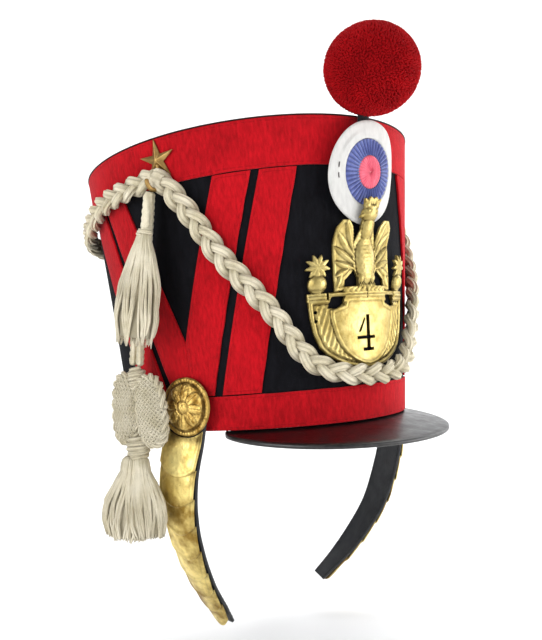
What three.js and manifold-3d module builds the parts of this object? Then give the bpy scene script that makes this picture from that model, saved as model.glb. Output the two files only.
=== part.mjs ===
// Infantry shako: a flaring felt body with red bands and side chevrons, a pierced brass plate,
// a cockade and pompom, plaited cords with tassels, a leather peak and chin scales.
// Millimetres, +Z up. The front (plate and peak) faces -Y and the wearer's right is -X.
// The origin is the centre of the opening at the lower rim, where the hat sits on the head.

import * as THREE from 'three';
import { mergeVertices } from 'three/addons/utils/BufferGeometryUtils.js';
import Module from 'manifold-3d';

const wasm = await Module();
wasm.setup();

const DEGREE = Math.PI / 180;
const CLEARANCE = 0.35; // between pieces that touch on the real hat
const ROUND_STEPS = 36; // sides of the felt body and its bands

// Driving dimensions

const crown = {
  rimHalfWidth: 86,
  rimHalfDepth: 103,
  topHalfWidth: 106.8,
  topHalfDepth: 109.2,
  height: 170.6,
  topShift: -1.7, // the top sits this far forward of the rim
  topSlope: 0.0876, // the top rises towards the front
  wall: 2.6,
};
const frontHeight = crown.height + crown.topSlope * (crown.topHalfDepth - crown.topShift);

const cloth = { thickness: 1.25, topBandFrom: 0.842, bottomBandTo: 0.116 };
const clothOuter = CLEARANCE + cloth.thickness; // outer face of the cloth above the felt

const topPanel = {
  recess: 2.5, thickness: 2, border: 1, overhang: 0.3, borderShare: 0.945, borderSlope: 1.5, seat: 1,
};

// Chevron angles are counted in degrees from its centre line, at its low and its high end
const chevron = {
  centre: 68,
  low: 0.12,
  high: 0.838,
  apex: 0.305,
  armInner: { low: 0, high: 17.6 },
  armOuter: { low: 8.2, high: 29.7 },
  stripInner: { low: 11.3, high: 32.4 },
  stripOuter: { low: 25.2, high: 44.4 },
  sliceAngle: 8,
};

const peak = {
  halfAngle: 58,
  reach: 38,
  fullness: 0.75, // how square the outline is: lower is squarer
  fall: 0.2217, // drop for each millimetre of reach
  lip: 1.05, // drop at the stitched edge
  inset: 2.2,
  thickness: 2.6,
};

const cockade = {
  centre: [0.4, -114.3, 147],
  lean: 10 * DEGREE,
  turn: 4.5 * DEGREE, // it sits slightly turned to the wearer's left
  outerRadius: 30.7,
  middleRadius: 19.8,
  centreRadius: 10,
  middleRise: 3,
  centreRise: 4.2,
  thickness: 1.3,
  pleats: 24,
  pleatRise: 0.5,
};

const pompom = {
  centre: [0, -127, 205.4],
  radius: 28.8,
  squash: 0.95,
  tufts: 70,
  tuftRise: 1.5,
  restHeight: 181, // it rests on the rim's border
  restFront: -118,
};
const stem = { width: 9, thickness: 3.2, foot: [0, -113.8, 160], head: [0, -118.6, 190] };

const plate = {
  back: 0.65, // gap behind the plate, which its wide slices need
  sheet: 1,
  sliceWidth: 14.5,
  leanFrom: 104,
  leanTo: 133,
  lean: 10.5, // the neck and head stand forward of the cockade
  leftShare: 0.955, // its left half is a little narrower
  wingEdge: 24, // beyond it only the grenades stand above the bar
  hornFrom: 77,
  hornTo: 92,
  hornLean: 2.6, // the grenades stand off the felt
};

const star = { angle: { right: 67.5, left: 75.5 }, level: 0.926, outerRadius: 12.6, innerRadius: 4.3, rim: 1, apex: 3.2 };
const hookWire = 1.3;

const plaitDiameter = 11.2;
const dropCordDiameter = 6.8;

const strapSheet = 2.2;
const boss = { radius: 17.6, along: 9.8, petals: 8 };
const scales = {
  count: 8, lap: 1.35, crown: 2, sheet: 0.85, overhang: 0.8, roundness: 0.26,
  stacking: 1.3, // clearances by which each scale rises over the next
  hollow: 0.75, // how closely the first scale follows the boss's round edge
};

// Materials

const finish = (color, roughness, metalness = 0) =>
  new THREE.MeshStandardMaterial({ color, roughness, metalness });
const blackFelt = finish(0x14141a, 0.95);
const redCloth = finish(0xc4152b, 0.9);
const blackLeather = finish(0x17120f, 0.35);
const brass = finish(0xc59a45, 0.35, 1);
const creamCord = finish(0xe3dcc4, 0.9);
const whiteFelt = finish(0xe9e8e6, 0.9);
const blueFelt = finish(0x4a5fa5, 0.9);
const roseFelt = finish(0xd9415a, 0.9);
const redWool = finish(0x8e0b12, 1);

// The felt surface. Angle is in degrees from the front, positive to the wearer's left.
// Level runs from 0 at the rim to 1 at the top, and share from 0 on the axis to 1 at the felt.

const mix = THREE.MathUtils.lerp;

function hatPoint(angle, level, offset = 0, share = 1) {
  const halfWidth = mix(crown.rimHalfWidth, crown.topHalfWidth, level) * share;
  const halfDepth = mix(crown.rimHalfDepth, crown.topHalfDepth, level) * share;
  const sine = Math.sin(angle * DEGREE);
  const cosine = Math.cos(angle * DEGREE);
  const shift = crown.topShift * level;
  const height = crown.height + crown.topSlope * (halfDepth * cosine - shift);
  return new THREE.Vector3(
    (halfWidth + offset) * sine,
    -(halfDepth + offset) * cosine + shift,
    height * level,
  );
}

// A local frame on the felt: X runs round the hat, Y up the wall and Z straight out
function hatFrame(angle, level, offset) {
  const step = 0.01;
  const origin = hatPoint(angle, level, offset);
  const round = hatPoint(angle + step, level, offset).sub(origin).normalize();
  const up = hatPoint(angle, level + step, offset).sub(origin).normalize();
  const out = new THREE.Vector3().crossVectors(round, up).normalize();
  const upright = new THREE.Vector3().crossVectors(out, round);
  return new THREE.Matrix4().makeBasis(round, upright, out).setPosition(origin);
}

// Mesh tools

function weld(geometry) {
  const bare = geometry.clone();
  bare.deleteAttribute('normal');
  bare.deleteAttribute('uv');
  return mergeVertices(bare, 1e-3);
}

function mapVertices(geometry, place) {
  const position = geometry.attributes.position;
  const corner = new THREE.Vector3();
  for (let i = 0; i < position.count; i += 1) {
    const moved = place(corner.fromBufferAttribute(position, i));
    position.setXYZ(i, moved.x, moved.y, moved.z);
  }
  return geometry;
}

function trianglesOf(geometry) {
  const flat = geometry.index ? geometry.toNonIndexed() : geometry;
  const position = flat.attributes.position;
  const triangles = [];
  for (let i = 0; i < position.count; i += 3) {
    triangles.push([0, 1, 2].map((k) => new THREE.Vector3().fromBufferAttribute(position, i + k)));
  }
  return triangles;
}

function geometryOf(triangles) {
  return new THREE.BufferGeometry().setFromPoints(triangles.flat());
}

function facingOut(geometry) {
  const triangles = trianglesOf(weld(geometry)).filter(([a, b, c]) =>
    a.distanceTo(b) > 0 && b.distanceTo(c) > 0 && c.distanceTo(a) > 0);
  const cross = new THREE.Vector3();
  const volume = triangles.reduce((sum, [a, b, c]) => sum + a.dot(cross.crossVectors(b, c)), 0);
  if (volume < 0) {
    triangles.forEach((triangle) => triangle.reverse());
  }
  return weld(geometryOf(triangles));
}

function toSolid(geometry) {
  const closed = facingOut(geometry);
  return new wasm.Manifold(new wasm.Mesh({
    numProp: 3,
    vertProperties: new Float32Array(closed.attributes.position.array),
    triVerts: new Uint32Array(closed.index.array),
  }));
}

function fromSolid(solid) {
  const mesh = solid.getMesh();
  const geometry = new THREE.BufferGeometry();
  geometry.setAttribute('position', new THREE.Float32BufferAttribute(mesh.vertProperties, 3));
  geometry.setIndex(new THREE.Uint32BufferAttribute(mesh.triVerts, 1));
  return geometry;
}

function joined(geometries) {
  return fromSolid(geometries.map(toSolid).reduce((whole, piece) => whole.add(piece)));
}

function cutFrom(geometry, tools) {
  return fromSolid(tools.map(toSolid).reduce((rest, tool) => rest.subtract(tool), toSolid(geometry)));
}

// Splits the triangles where they cross upright planes, so that a flat piece can bend smoothly
function slice(geometry, cuts) {
  const near = 1e-4;
  const crossing = (a, b, cut) => {
    const [low, high] = a.x < b.x ? [a, b] : [b, a];
    return low.clone().lerp(high, (cut - low.x) / (high.x - low.x));
  };
  const fan = (corners) => corners.slice(2).map((_, i) => [corners[0], corners[i + 1], corners[i + 2]]);
  const split = (triangle, cut) => {
    const sides = triangle.map((corner) => (Math.abs(corner.x - cut) < near ? 0 : Math.sign(corner.x - cut)));
    const below = [];
    const above = [];
    triangle.forEach((corner, i) => {
      const next = (i + 1) % 3;
      if (sides[i] <= 0) below.push(corner);
      if (sides[i] >= 0) above.push(corner);
      if (sides[i] * sides[next] < 0) {
        const point = crossing(corner, triangle[next], cut);
        below.push(point);
        above.push(point);
      }
    });
    return sides.every((side) => side <= 0) || sides.every((side) => side >= 0)
      ? [triangle]
      : [...fan(below), ...fan(above)];
  };
  const sliced = cuts.reduce(
    (triangles, cut) => triangles.flatMap((triangle) => split(triangle, cut)),
    trianglesOf(weld(geometry)),
  );
  return geometryOf(sliced);
}

// A closed sheet with an outer and an inner face over one grid, both given as (u, v) in 0 to 1
function sheetSolid(columns, rows, outerAt, innerAt) {
  const triangles = [];
  const quad = (a, b, c, d) => triangles.push([a, b, c], [a, c, d]);
  const at = (face, i, j) => face(i / columns, j / rows);
  for (let i = 0; i < columns; i += 1) {
    for (let j = 0; j < rows; j += 1) {
      quad(at(outerAt, i, j), at(outerAt, i + 1, j), at(outerAt, i + 1, j + 1), at(outerAt, i, j + 1));
      quad(at(innerAt, i, j), at(innerAt, i, j + 1), at(innerAt, i + 1, j + 1), at(innerAt, i + 1, j));
    }
    quad(at(innerAt, i, 0), at(innerAt, i + 1, 0), at(outerAt, i + 1, 0), at(outerAt, i, 0));
    quad(at(outerAt, i, rows), at(outerAt, i + 1, rows), at(innerAt, i + 1, rows), at(innerAt, i, rows));
  }
  for (let j = 0; j < rows; j += 1) {
    quad(at(outerAt, 0, j), at(outerAt, 0, j + 1), at(innerAt, 0, j + 1), at(innerAt, 0, j));
    quad(at(innerAt, columns, j), at(innerAt, columns, j + 1), at(outerAt, columns, j + 1), at(outerAt, columns, j));
  }
  return geometryOf(triangles);
}

function tube(points, diameter, steps, sides = 8) {
  const section = new THREE.Shape(
    Array.from({ length: sides }, (_, i) => new THREE.Vector2(
      diameter / 2 * Math.cos(2 * Math.PI * i / sides),
      diameter / 2 * Math.sin(2 * Math.PI * i / sides),
    )),
  );
  const path = new THREE.CatmullRomCurve3(points);
  return new THREE.ExtrudeGeometry(section, { steps, extrudePath: path });
}

const shako = new THREE.Group();

function addPiece(name, geometry, material) {
  const mesh = new THREE.Mesh(facingOut(geometry), material);
  mesh.name = name;
  shako.add(mesh);
}

// Felt body, top panel and bands: profiles turned round the axis, then laid on the felt's form.
// A profile row is the distance out from the felt and the level.

const LATHE_RADIUS = 100; // stands for the felt's outer face while a profile is turned

function turnedOnHat(profile) {
  const points = profile.map(([out, level]) => new THREE.Vector2(LATHE_RADIUS + out, level));
  const turned = new THREE.LatheGeometry(points, ROUND_STEPS);
  return mapVertices(turned, (corner) => {
    const radius = Math.hypot(corner.x, corner.z);
    const angle = Math.atan2(corner.x, corner.z) / DEGREE;
    const offset = Math.max(radius - LATHE_RADIUS, -crown.wall);
    const share = Math.min(1, radius / (LATHE_RADIUS - crown.wall));
    return share < 1 ? hatPoint(angle, corner.y, -crown.wall * share, share) : hatPoint(angle, corner.y, offset);
  });
}

function wallProfile(inner, outer, low, high) {
  return [[inner, low], [outer, low], [outer, high], [inner, high], [inner, low]];
}

function addCrown() {
  addPiece('crown_shell', turnedOnHat(wallProfile(-crown.wall, 0, 0, 1)), blackFelt);
  addPiece('top_band', turnedOnHat(wallProfile(CLEARANCE, clothOuter, cloth.topBandFrom, 1)), redCloth);
  addPiece('bottom_band', turnedOnHat(wallProfile(CLEARANCE, clothOuter, 0, cloth.bottomBandTo)), redCloth);
}

function addTopPanel() {
  const above = (height) => 1 + height / crown.height;
  const axis = -LATHE_RADIUS;
  const borderInner = (topPanel.borderShare - 1) * LATHE_RADIUS;
  const seatInner = -crown.wall - topPanel.seat;
  const floor = -topPanel.recess - topPanel.thickness;
  const profile = [
    [axis, above(-topPanel.recess)],
    [borderInner - topPanel.borderSlope, above(-topPanel.recess)],
    [borderInner, above(topPanel.border)],
    [clothOuter + topPanel.overhang, above(topPanel.border)],
    [clothOuter + topPanel.overhang, above(CLEARANCE)],
    [seatInner, above(CLEARANCE)],
    [seatInner, above(floor)],
    [axis, above(floor)],
  ];
  addPiece('top_panel', turnedOnHat(profile), blackLeather);
}

// Chevrons: cloth strips cut in the flat plane of angle and level, then laid on the felt

function clothOnHat(outline) {
  const levelScale = 100;
  const shape = new THREE.Shape(outline.map(([angle, level]) => new THREE.Vector2(angle, level * levelScale)));
  const flat = new THREE.ExtrudeGeometry(shape, { depth: cloth.thickness, bevelEnabled: false });
  const cuts = Array.from({ length: 41 }, (_, i) => (i - 20) * chevron.sliceAngle);
  return mapVertices(slice(flat, cuts), (corner) =>
    hatPoint(corner.x, corner.y / levelScale, corner.z + CLEARANCE));
}

function addChevrons(side, name) {
  const { low, high, apex, armInner, armOuter, stripInner, stripOuter } = chevron;
  const at = (fromCentre, level) => [side * (chevron.centre - fromCentre), level];
  const arms = [
    at(armOuter.low, low), at(armOuter.high, high), at(armInner.high, high), at(armInner.low, apex),
    at(-armInner.high, high), at(-armOuter.high, high), at(-armOuter.low, low),
  ];
  const strip = (turn) => [
    at(turn * stripInner.low, low), at(turn * stripOuter.low, low),
    at(turn * stripOuter.high, high), at(turn * stripInner.high, high),
  ];
  addPiece(`chevron_inner_${name}`, clothOnHat(arms), redCloth);
  addPiece(`chevron_front_${name}`, clothOnHat(strip(1)), redCloth);
  addPiece(`chevron_back_${name}`, clothOnHat(strip(-1)), redCloth);
}

// Peak

function addPeak() {
  const face = (depth) => (u, v) => {
    const angle = mix(-peak.halfAngle, peak.halfAngle, u);
    const share = Math.max(0, Math.cos(Math.PI / 2 * angle / peak.halfAngle)) ** peak.fullness;
    const reach = peak.reach * share;
    const stitched = hatPoint(angle, 0, -peak.inset);
    const edge = hatPoint(angle, 0, reach);
    const point = stitched.lerp(edge, v);
    point.z = -CLEARANCE - v * (peak.lip + peak.fall * reach) - depth;
    return point;
  };
  addPiece('peak', sheetSolid(24, 2, face(0), face(peak.thickness)), blackLeather);
}

// Cockade: three felt rings, each a shallow cone, stacked from the outer edge inwards

function addCockade() {
  const { lean, turn: facing, thickness, pleats, pleatRise } = cockade;
  const right = new THREE.Vector3(Math.cos(facing), Math.sin(facing), 0);
  const forward = new THREE.Vector3(
    Math.cos(lean) * Math.sin(facing), -Math.cos(lean) * Math.cos(facing), -Math.sin(lean));
  const place = new THREE.Matrix4()
    .makeBasis(right, forward, new THREE.Vector3().crossVectors(right, forward))
    .setPosition(...cockade.centre);
  const ring = (rows, steps) => {
    const points = rows.map(([radius, rise]) => new THREE.Vector2(radius, rise));
    return new THREE.LatheGeometry(points, steps).applyMatrix4(place);
  };
  const cone = (outer, inner, outerRise, innerRise, gap = CLEARANCE) => [
    [inner, innerRise], [outer - gap, outerRise], [outer - gap, outerRise + thickness],
    [inner, innerRise + thickness], [inner, innerRise],
  ];
  const { outerRadius, middleRadius, centreRadius, middleRise, centreRise } = cockade;
  addPiece('cockade_outer', ring(cone(outerRadius, middleRadius, 0, middleRise - thickness, 0), 32), whiteFelt);

  const middle = new THREE.LatheGeometry(
    cone(middleRadius, centreRadius, middleRise - thickness, centreRise - thickness)
      .map(([radius, rise]) => new THREE.Vector2(radius, rise)),
    2 * pleats,
  );
  mapVertices(middle, (corner) => {
    const turn = Math.atan2(corner.x, corner.z);
    const onFront = corner.y > middleRise - 0.3 ? 1 : 0;
    corner.y += onFront * pleatRise * Math.cos(pleats * turn);
    return corner;
  });
  addPiece('cockade_middle', middle.applyMatrix4(place), blueFelt);

  const centreBack = centreRise - thickness;
  const centreRows = [
    [0, centreBack], [centreRadius - CLEARANCE, centreBack], [centreRadius - CLEARANCE, centreRise],
    [centreRadius * 0.6, centreRise + 0.8], [0, centreRise + 1],
  ];
  addPiece('cockade_centre', ring(centreRows, 24), roseFelt);
}

// Pompom: wool tufts on a round head, flattened where it rests on the rim, and its stem

function stemShape(growth) {
  const ellipse = new THREE.Shape();
  ellipse.absellipse(0, 0, stem.thickness / 2 + growth, stem.width / 2 + growth, 0, 2 * Math.PI);
  const foot = new THREE.Vector3(...stem.foot);
  const head = new THREE.Vector3(...stem.head);
  const axis = head.clone().sub(foot);
  const flat = new THREE.ExtrudeGeometry(ellipse, {
    depth: axis.length() + growth,
    bevelEnabled: false,
    curveSegments: 5,
  });
  const up = axis.normalize();
  const across = new THREE.Vector3(1, 0, 0);
  const back = new THREE.Vector3().crossVectors(across, up);
  return flat.applyMatrix4(new THREE.Matrix4().makeBasis(back, across, up).setPosition(foot));
}

function addPompom() {
  const centre = new THREE.Vector3(...pompom.centre);
  const goldenAngle = Math.PI * (3 - Math.sqrt(5));
  const tufts = Array.from({ length: pompom.tufts }, (_, i) => {
    const height = 1 - 2 * (i + 0.5) / pompom.tufts;
    const width = Math.sqrt(1 - height * height);
    return new THREE.Vector3(width * Math.cos(i * goldenAngle), width * Math.sin(i * goldenAngle), height);
  });
  const tuftReach = 2 / Math.sqrt(pompom.tufts);
  const ball = mapVertices(weld(new THREE.IcosahedronGeometry(1, 4)), (direction) => {
    const nearest = Math.min(...tufts.map((tuft) => tuft.distanceTo(direction)));
    const dip = pompom.tuftRise * Math.min(1, nearest / tuftReach) ** 2;
    const point = direction.clone().multiplyScalar(pompom.radius - dip);
    point.z *= pompom.squash;
    point.add(centre);
    if (point.y > pompom.restFront) {
      point.z = Math.max(point.z, pompom.restHeight);
    }
    return point;
  });
  addPiece('pompom', cutFrom(ball, [stemShape(CLEARANCE)]), redWool);
  addPiece('pompom_stem', stemShape(0), blackLeather);
}

// Plate: worked flat, with X along the felt, Y up and Z out, then bent onto the felt

function plateOnHat(flat) {
  const cuts = [];
  for (let x = -2 * plate.sliceWidth; x <= 2 * plate.sliceWidth; x += plate.sliceWidth) {
    cuts.push(x);
  }
  return mapVertices(slice(flat, cuts), (corner) => {
    const level = corner.y / frontHeight;
    const x = corner.x * (corner.x > 0 ? plate.leftShare : 1);
    const angle = x / mix(crown.rimHalfWidth, crown.topHalfWidth, level) / DEGREE;
    const rise = (from, to) => THREE.MathUtils.clamp((corner.y - from) / (to - from), 0, 1);
    const lean = Math.abs(corner.x) > plate.wingEdge
      ? plate.hornLean * rise(plate.hornFrom, plate.hornTo)
      : plate.lean * rise(plate.leanFrom, plate.leanTo);
    return hatPoint(angle, level, corner.z + plate.back + lean);
  });
}

function mirrored(half) {
  return [...half, ...half.map(([x, y]) => [-x, y]).reverse()];
}

function raised(outline, height, from = 0) {
  const shape = new THREE.Shape(outline.map(([x, y]) => new THREE.Vector2(x, y)));
  const body = new THREE.ExtrudeGeometry(shape, { depth: height - from, bevelEnabled: false });
  return body.translate(0, 0, from);
}

function boss3d(x, y, halfWidth, halfHeight, height) {
  const dome = new THREE.SphereGeometry(1, 8, 4).scale(halfWidth, halfHeight, height);
  const behind = new THREE.BoxGeometry(4 * halfWidth, 4 * halfHeight, 2 * height).translate(0, 0, -height);
  return cutFrom(dome, [behind]).translate(x, y, 0);
}

const shieldHalf = [
  [0, 30.6], [9, 31.4], [17.5, 33.6], [24, 36.8], [29.5, 40.4], [33.4, 44.6], [36.6, 52.3], [38.6, 62], [39.6, 73],
];
const innerShieldHalf = [
  [0, 33.2], [6, 34.2], [11.5, 37.2], [15.8, 40.7], [19.4, 45], [22.2, 50.5], [24, 56], [25.4, 62.5],
  [25.2, 66], [16.5, 68.6], [15, 72.5],
];
const shieldRim = { width: 2, rise: 1.8, height: 2.2 };
const topBarHalf = [[0, 72.4], [27, 72.4], [27, 76.8], [0, 76.8]];
const footBlockHalf = [[0, 75], [17, 75.6], [17, 80], [0, 81]];
const eagleBackHalf = [[0, 78], [7.5, 79], [9.4, 92], [9.2, 104], [5.4, 113], [4.6, 121], [0, 121]];
const eagleCrownHalf = [[0, 124.6], [5, 124.6], [6.2, 130.6], [3.8, 129.6], [2.1, 131.6], [0, 130.4]];
const beak = [[-4, 119.8], [-7.4, 119.2], [-7.2, 121], [-4, 123.2]];
const eagleDomes = [
  // y, half width, half height, height: the body, the neck and the head
  [95, 8.4, 15, 4.6],
  [113, 4.8, 9, 3.4],
  [122, 6.2, 5.4, 4],
];
const wingHalf = [
  [7, 79], [23, 77], [23.4, 90], [23, 108], [21.6, 114.5], [18.2, 118.5], [14, 118.5], [10.8, 114.5],
  [8.4, 104],
];
const feathers = [
  // root x, root y, tip x, tip y, half width, height
  [9, 101, 15.8, 117.4, 1.7, 2.6],
  [8.5, 97, 20.6, 111.5, 1.8, 2.3],
  [8.5, 93, 21.6, 103, 1.8, 2.6],
  [9, 90, 21.8, 94.5, 1.8, 2.3],
  [13, 90, 21.8, 86, 1.8, 2.6],
  [17.5, 88, 21.4, 79, 1.7, 2.3],
];
const grenade = {
  x: 33.7, ballY: 81.6, ballRadius: 5.7, ballRise: 3.6, flames: 9, flameY: 91.8, flameOuter: 7.4, flameInner: 4.6,
  flameRise: 1.8, cap: [28, 71.6, 40, 76.6], capRise: 2.4, neck: [31, 86, 36.4, 92], neckRise: 1.6,
};
const rivetHoles = { x: -35.2, heights: [60.5, 65.7], half: 1 };
const wingGap = [[6.5, 79.8], [16.6, 79.8], [16, 83.6], [12, 87], [9.2, 89.6], [6.8, 85]];
const hornGap = [[16.6, 74.2], [25.6, 74.2], [28, 67.6], [22, 67.2], [18, 69.6]];
const numberFour = [
  // each bar of the cut-out number as corner points, a stencil that holds its inner corner
  [[-1.8, 42], [0.8, 42], [0.8, 62.6], [-1.8, 62.6]],
  [[-4.8, 41], [3.6, 41], [3.6, 43], [-4.8, 43]],
  [[-9, 48.3], [5, 48.3], [5, 50], [-9, 50]],
  [[-8, 52.7], [-6.2, 52.7], [-2.8, 59.8], [-3.4, 61]],
];

function rectangle([left, low, right, high]) {
  return [[left, low], [right, low], [right, high], [left, high]];
}

function addPlate() {
  const both = (make) => [make(1), make(-1)];
  const flip = (side, outline) => outline.map(([x, y]) => [side * x, y]);
  const shieldInside = shieldHalf.map(([x, y]) => [Math.max(0, x - shieldRim.width), y + shieldRim.rise]);
  const tooHigh = 4;
  const feather = (side, [rootX, rootY, tipX, tipY, half, height]) => {
    const run = new THREE.Vector2(tipX - rootX, tipY - rootY);
    const across = new THREE.Vector2(-run.y, run.x).normalize().multiplyScalar(half);
    const widest = 0.7;
    const [x, y] = [rootX + run.x * widest, rootY + run.y * widest];
    const outline = [
      [rootX, rootY], [x + across.x, y + across.y], [tipX, tipY], [x - across.x, y - across.y],
    ];
    return raised(flip(side, outline), height);
  };
  const flames = (side) => {
    const outline = Array.from({ length: 2 * grenade.flames }, (_, i) => {
      const turn = Math.PI / 2 + Math.PI * i / grenade.flames;
      const radius = i % 2 ? grenade.flameInner : grenade.flameOuter;
      return [side * grenade.x + radius * Math.cos(turn), grenade.flameY + radius * Math.sin(turn)];
    });
    return raised(outline, grenade.flameRise);
  };
  const pieces = [
    raised(mirrored(shieldHalf), plate.sheet),
    cutFrom(raised(mirrored(shieldHalf), shieldRim.height), [raised(mirrored(shieldInside), tooHigh, -1)]),
    raised(mirrored(innerShieldHalf), 1.8),
    raised(mirrored(topBarHalf), 2.6),
    raised(mirrored(footBlockHalf), 2),
    ...both((side) => raised(flip(side, wingHalf), 1.3)),
    ...feathers.flatMap((row) => both((side) => feather(side, row))),
    raised(mirrored(eagleBackHalf), 1.4),
    ...eagleDomes.map(([y, halfWidth, halfHeight, height]) => boss3d(0, y, halfWidth, halfHeight, height)),
    raised(beak, 2.6),
    raised(mirrored(eagleCrownHalf), 2.2),
    ...both((side) => boss3d(side * grenade.x, grenade.ballY, grenade.ballRadius, grenade.ballRadius,
      grenade.ballRise)),
    ...both((side) => raised(flip(side, rectangle(grenade.cap)), grenade.capRise)),
    ...both((side) => raised(flip(side, rectangle(grenade.neck)), grenade.neckRise)),
    ...both(flames),
  ];
  const tooDeep = 8;
  const through = (outline) => raised(outline, tooDeep, -tooDeep);
  const rivetHole = (y) => {
    const { x, half } = rivetHoles;
    return through(rectangle([x - half, y - half, x + half, y + half]));
  };
  const holes = [
    ...both((side) => through(flip(side, wingGap))),
    ...both((side) => through(flip(side, hornGap))),
    ...numberFour.map(through),
    ...rivetHoles.heights.map(rivetHole),
  ];
  addPiece('plate', plateOnHat(cutFrom(joined(pieces), holes)), brass);
}

// Star with its cord hook

function addStarHook(side, name) {
  const corners = 10;
  const corner = (i, height) => {
    const turn = Math.PI / 2 + 2 * Math.PI * i / corners;
    const radius = i % 2 ? star.innerRadius : star.outerRadius;
    return new THREE.Vector3(radius * Math.cos(turn), radius * Math.sin(turn), height);
  };
  const triangles = [];
  for (let i = 0; i < corners; i += 1) {
    const [a, b] = [corner(i, star.rim), corner(i + 1, star.rim)];
    const [c, d] = [corner(i, 0), corner(i + 1, 0)];
    triangles.push([a, b, new THREE.Vector3(0, 0, star.apex)], [d, c, new THREE.Vector3(0, 0, 0)]);
    triangles.push([a, c, d], [a, d, b]);
  }
  const hookRows = [
    // up the wall and straight out
    [-2, 1.4], [-9, 1.8], [-14.5, 2.6], [-17, 5.5], [-17.3, 9], [-17, 12.5], [-14.5, 15], [-11, 15.4],
  ];
  const hook = tube(hookRows.map(([up, out]) => new THREE.Vector3(0, up, out)), 2 * hookWire, 12, 6);
  const frame = hatFrame(side * star.angle[name], star.level, clothOuter + CLEARANCE);
  addPiece(`star_hook_${name}`, joined([geometryOf(triangles), hook]).applyMatrix4(frame), brass);
}

// Cords. A plait's rows are angle, level and distance out from the felt.

const frontPlaitHalf = [
  [-64.3, 0.832, 7.6], [-62.2, 0.793, 7.4], [-59.6, 0.748, 7.4], [-56.4, 0.692, 7.4], [-53.8, 0.638, 7.4],
  [-51, 0.586, 7.4], [-47.6, 0.533, 7.4], [-43.8, 0.481, 7.4], [-40, 0.429, 7.4], [-36.2, 0.375, 7.4],
  [-32.8, 0.319, 7.4], [-29.6, 0.264, 7.6], [-25.6, 0.215, 8.2], [-20, 0.18, 9.2], [-12, 0.158, 10],
];
const backPlaitHalf = [
  [-71.4, 0.862, 7.8], [-76, 0.857, 7.7], [-82, 0.852, 7.7], [-88.5, 0.846, 7.7], [-96, 0.835, 7.7],
  [-102.5, 0.817, 7.7], [-109, 0.8, 7.7], [-116, 0.785, 7.7], [-124, 0.775, 7.7], [-134, 0.77, 7.7],
  [-146, 0.768, 7.7], [-162, 0.766, 7.7],
];

// Degrees that each row lies further back on the wearer's left, from the hook on
const frontPlaitLag = [7.8, 8, 8, 7.6, 5.7, 5, 4.4, 3.2, 1.5, 0, -1.5, -3, -3.5, -3, -2];
const backPlaitLag = [8, 6, 4, 2];
const dropCordRoute = [
  [-105.9, -43.3, 142.6], [-105, -38.6, 128], [-104.6, -33.6, 112], [-104.4, -28.4, 96], [-104, -23.2, 80],
  [-103.8, -18, 66], [-104.2, -13.8, 54], [-104.9, -12, 42.1],
];

// The wearer's right side, one point in the middle, and the left side back up to its hook
function bothSides(half, lag, [middleAngle, middleLevel, middleOffset]) {
  const right = half.map(([angle, level, offset]) => hatPoint(angle, level, offset));
  const left = half.map(([angle, level, offset], i) => hatPoint((lag[i] ?? 0) - angle, level, offset));
  return [...right, hatPoint(middleAngle, middleLevel, middleOffset), ...left.reverse()];
}

function addPlaits() {
  const front = bothSides(frontPlaitHalf, frontPlaitLag, [0, 0.15, 10.2]);
  const back = bothSides(backPlaitHalf, backPlaitLag, [180, 0.765, 7.7]);
  addPiece('plait_front', tube(front, plaitDiameter, 30), creamCord);
  addPiece('plait_back', tube(back, plaitDiameter, 26), creamCord);
}

function addDropCord() {
  const points = dropCordRoute.map((point) => new THREE.Vector3(...point));
  addPiece('drop_cord', tube(points, dropCordDiameter, 10), creamCord);
}

// Tassels: a head and a skirt of locks round one axis. A row is the share of the length from
// the top, the radius and whether the locks show there.

const upperTasselRows = [
  [0, 2.6, 0], [0.24, 2.6, 0], [0.28, 4.4, 0], [0.34, 5.8, 0], [0.42, 8.5, 1], [0.62, 13.6, 1],
  [0.85, 15.3, 1], [1, 13, 1],
];
const lowerTasselRows = [
  [0, 4.2, 0], [0.05, 6.6, 0], [0.14, 7.6, 0], [0.2, 7.4, 0], [0.36, 12, 1], [0.58, 16.6, 1],
  [0.8, 17.4, 1], [1, 14.5, 1],
];

function tassel(rows, top, bottom, widthShare = 1) {
  const locks = 10;
  const lockDepth = 0.1;
  const ragged = 0.035;
  const depthShare = 0.68;
  const head = new THREE.Vector3(...top);
  const foot = new THREE.Vector3(...bottom);
  const length = head.distanceTo(foot);
  const points = rows.map(([share, radius]) => new THREE.Vector2(radius * widthShare, -share * length));
  points.unshift(new THREE.Vector2(0, 0));
  points.push(new THREE.Vector2(0, -length));
  const body = new THREE.LatheGeometry(points, 2 * locks);
  const skirtFrom = rows.find(([, , locked]) => locked)[0];
  mapVertices(body, (corner) => {
    const wave = Math.cos(locks * Math.atan2(corner.x, corner.z));
    const onSkirt = -corner.y / length >= skirtFrom - 1e-6 ? 1 : 0;
    const atFoot = -corner.y / length > 0.99 && Math.hypot(corner.x, corner.z) > 1 ? 1 : 0;
    const swell = 1 + onSkirt * lockDepth * wave;
    return new THREE.Vector3(
      corner.x * swell,
      corner.y * (1 + atFoot * ragged * wave),
      corner.z * swell * depthShare,
    );
  });
  const up = head.clone().sub(foot).normalize();
  const out = new THREE.Vector3(-0.93, -0.365, 0);
  const along = new THREE.Vector3().crossVectors(up, out).normalize();
  const outward = new THREE.Vector3().crossVectors(along, up);
  return body.applyMatrix4(new THREE.Matrix4().makeBasis(along, up, outward).setPosition(head));
}

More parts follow.
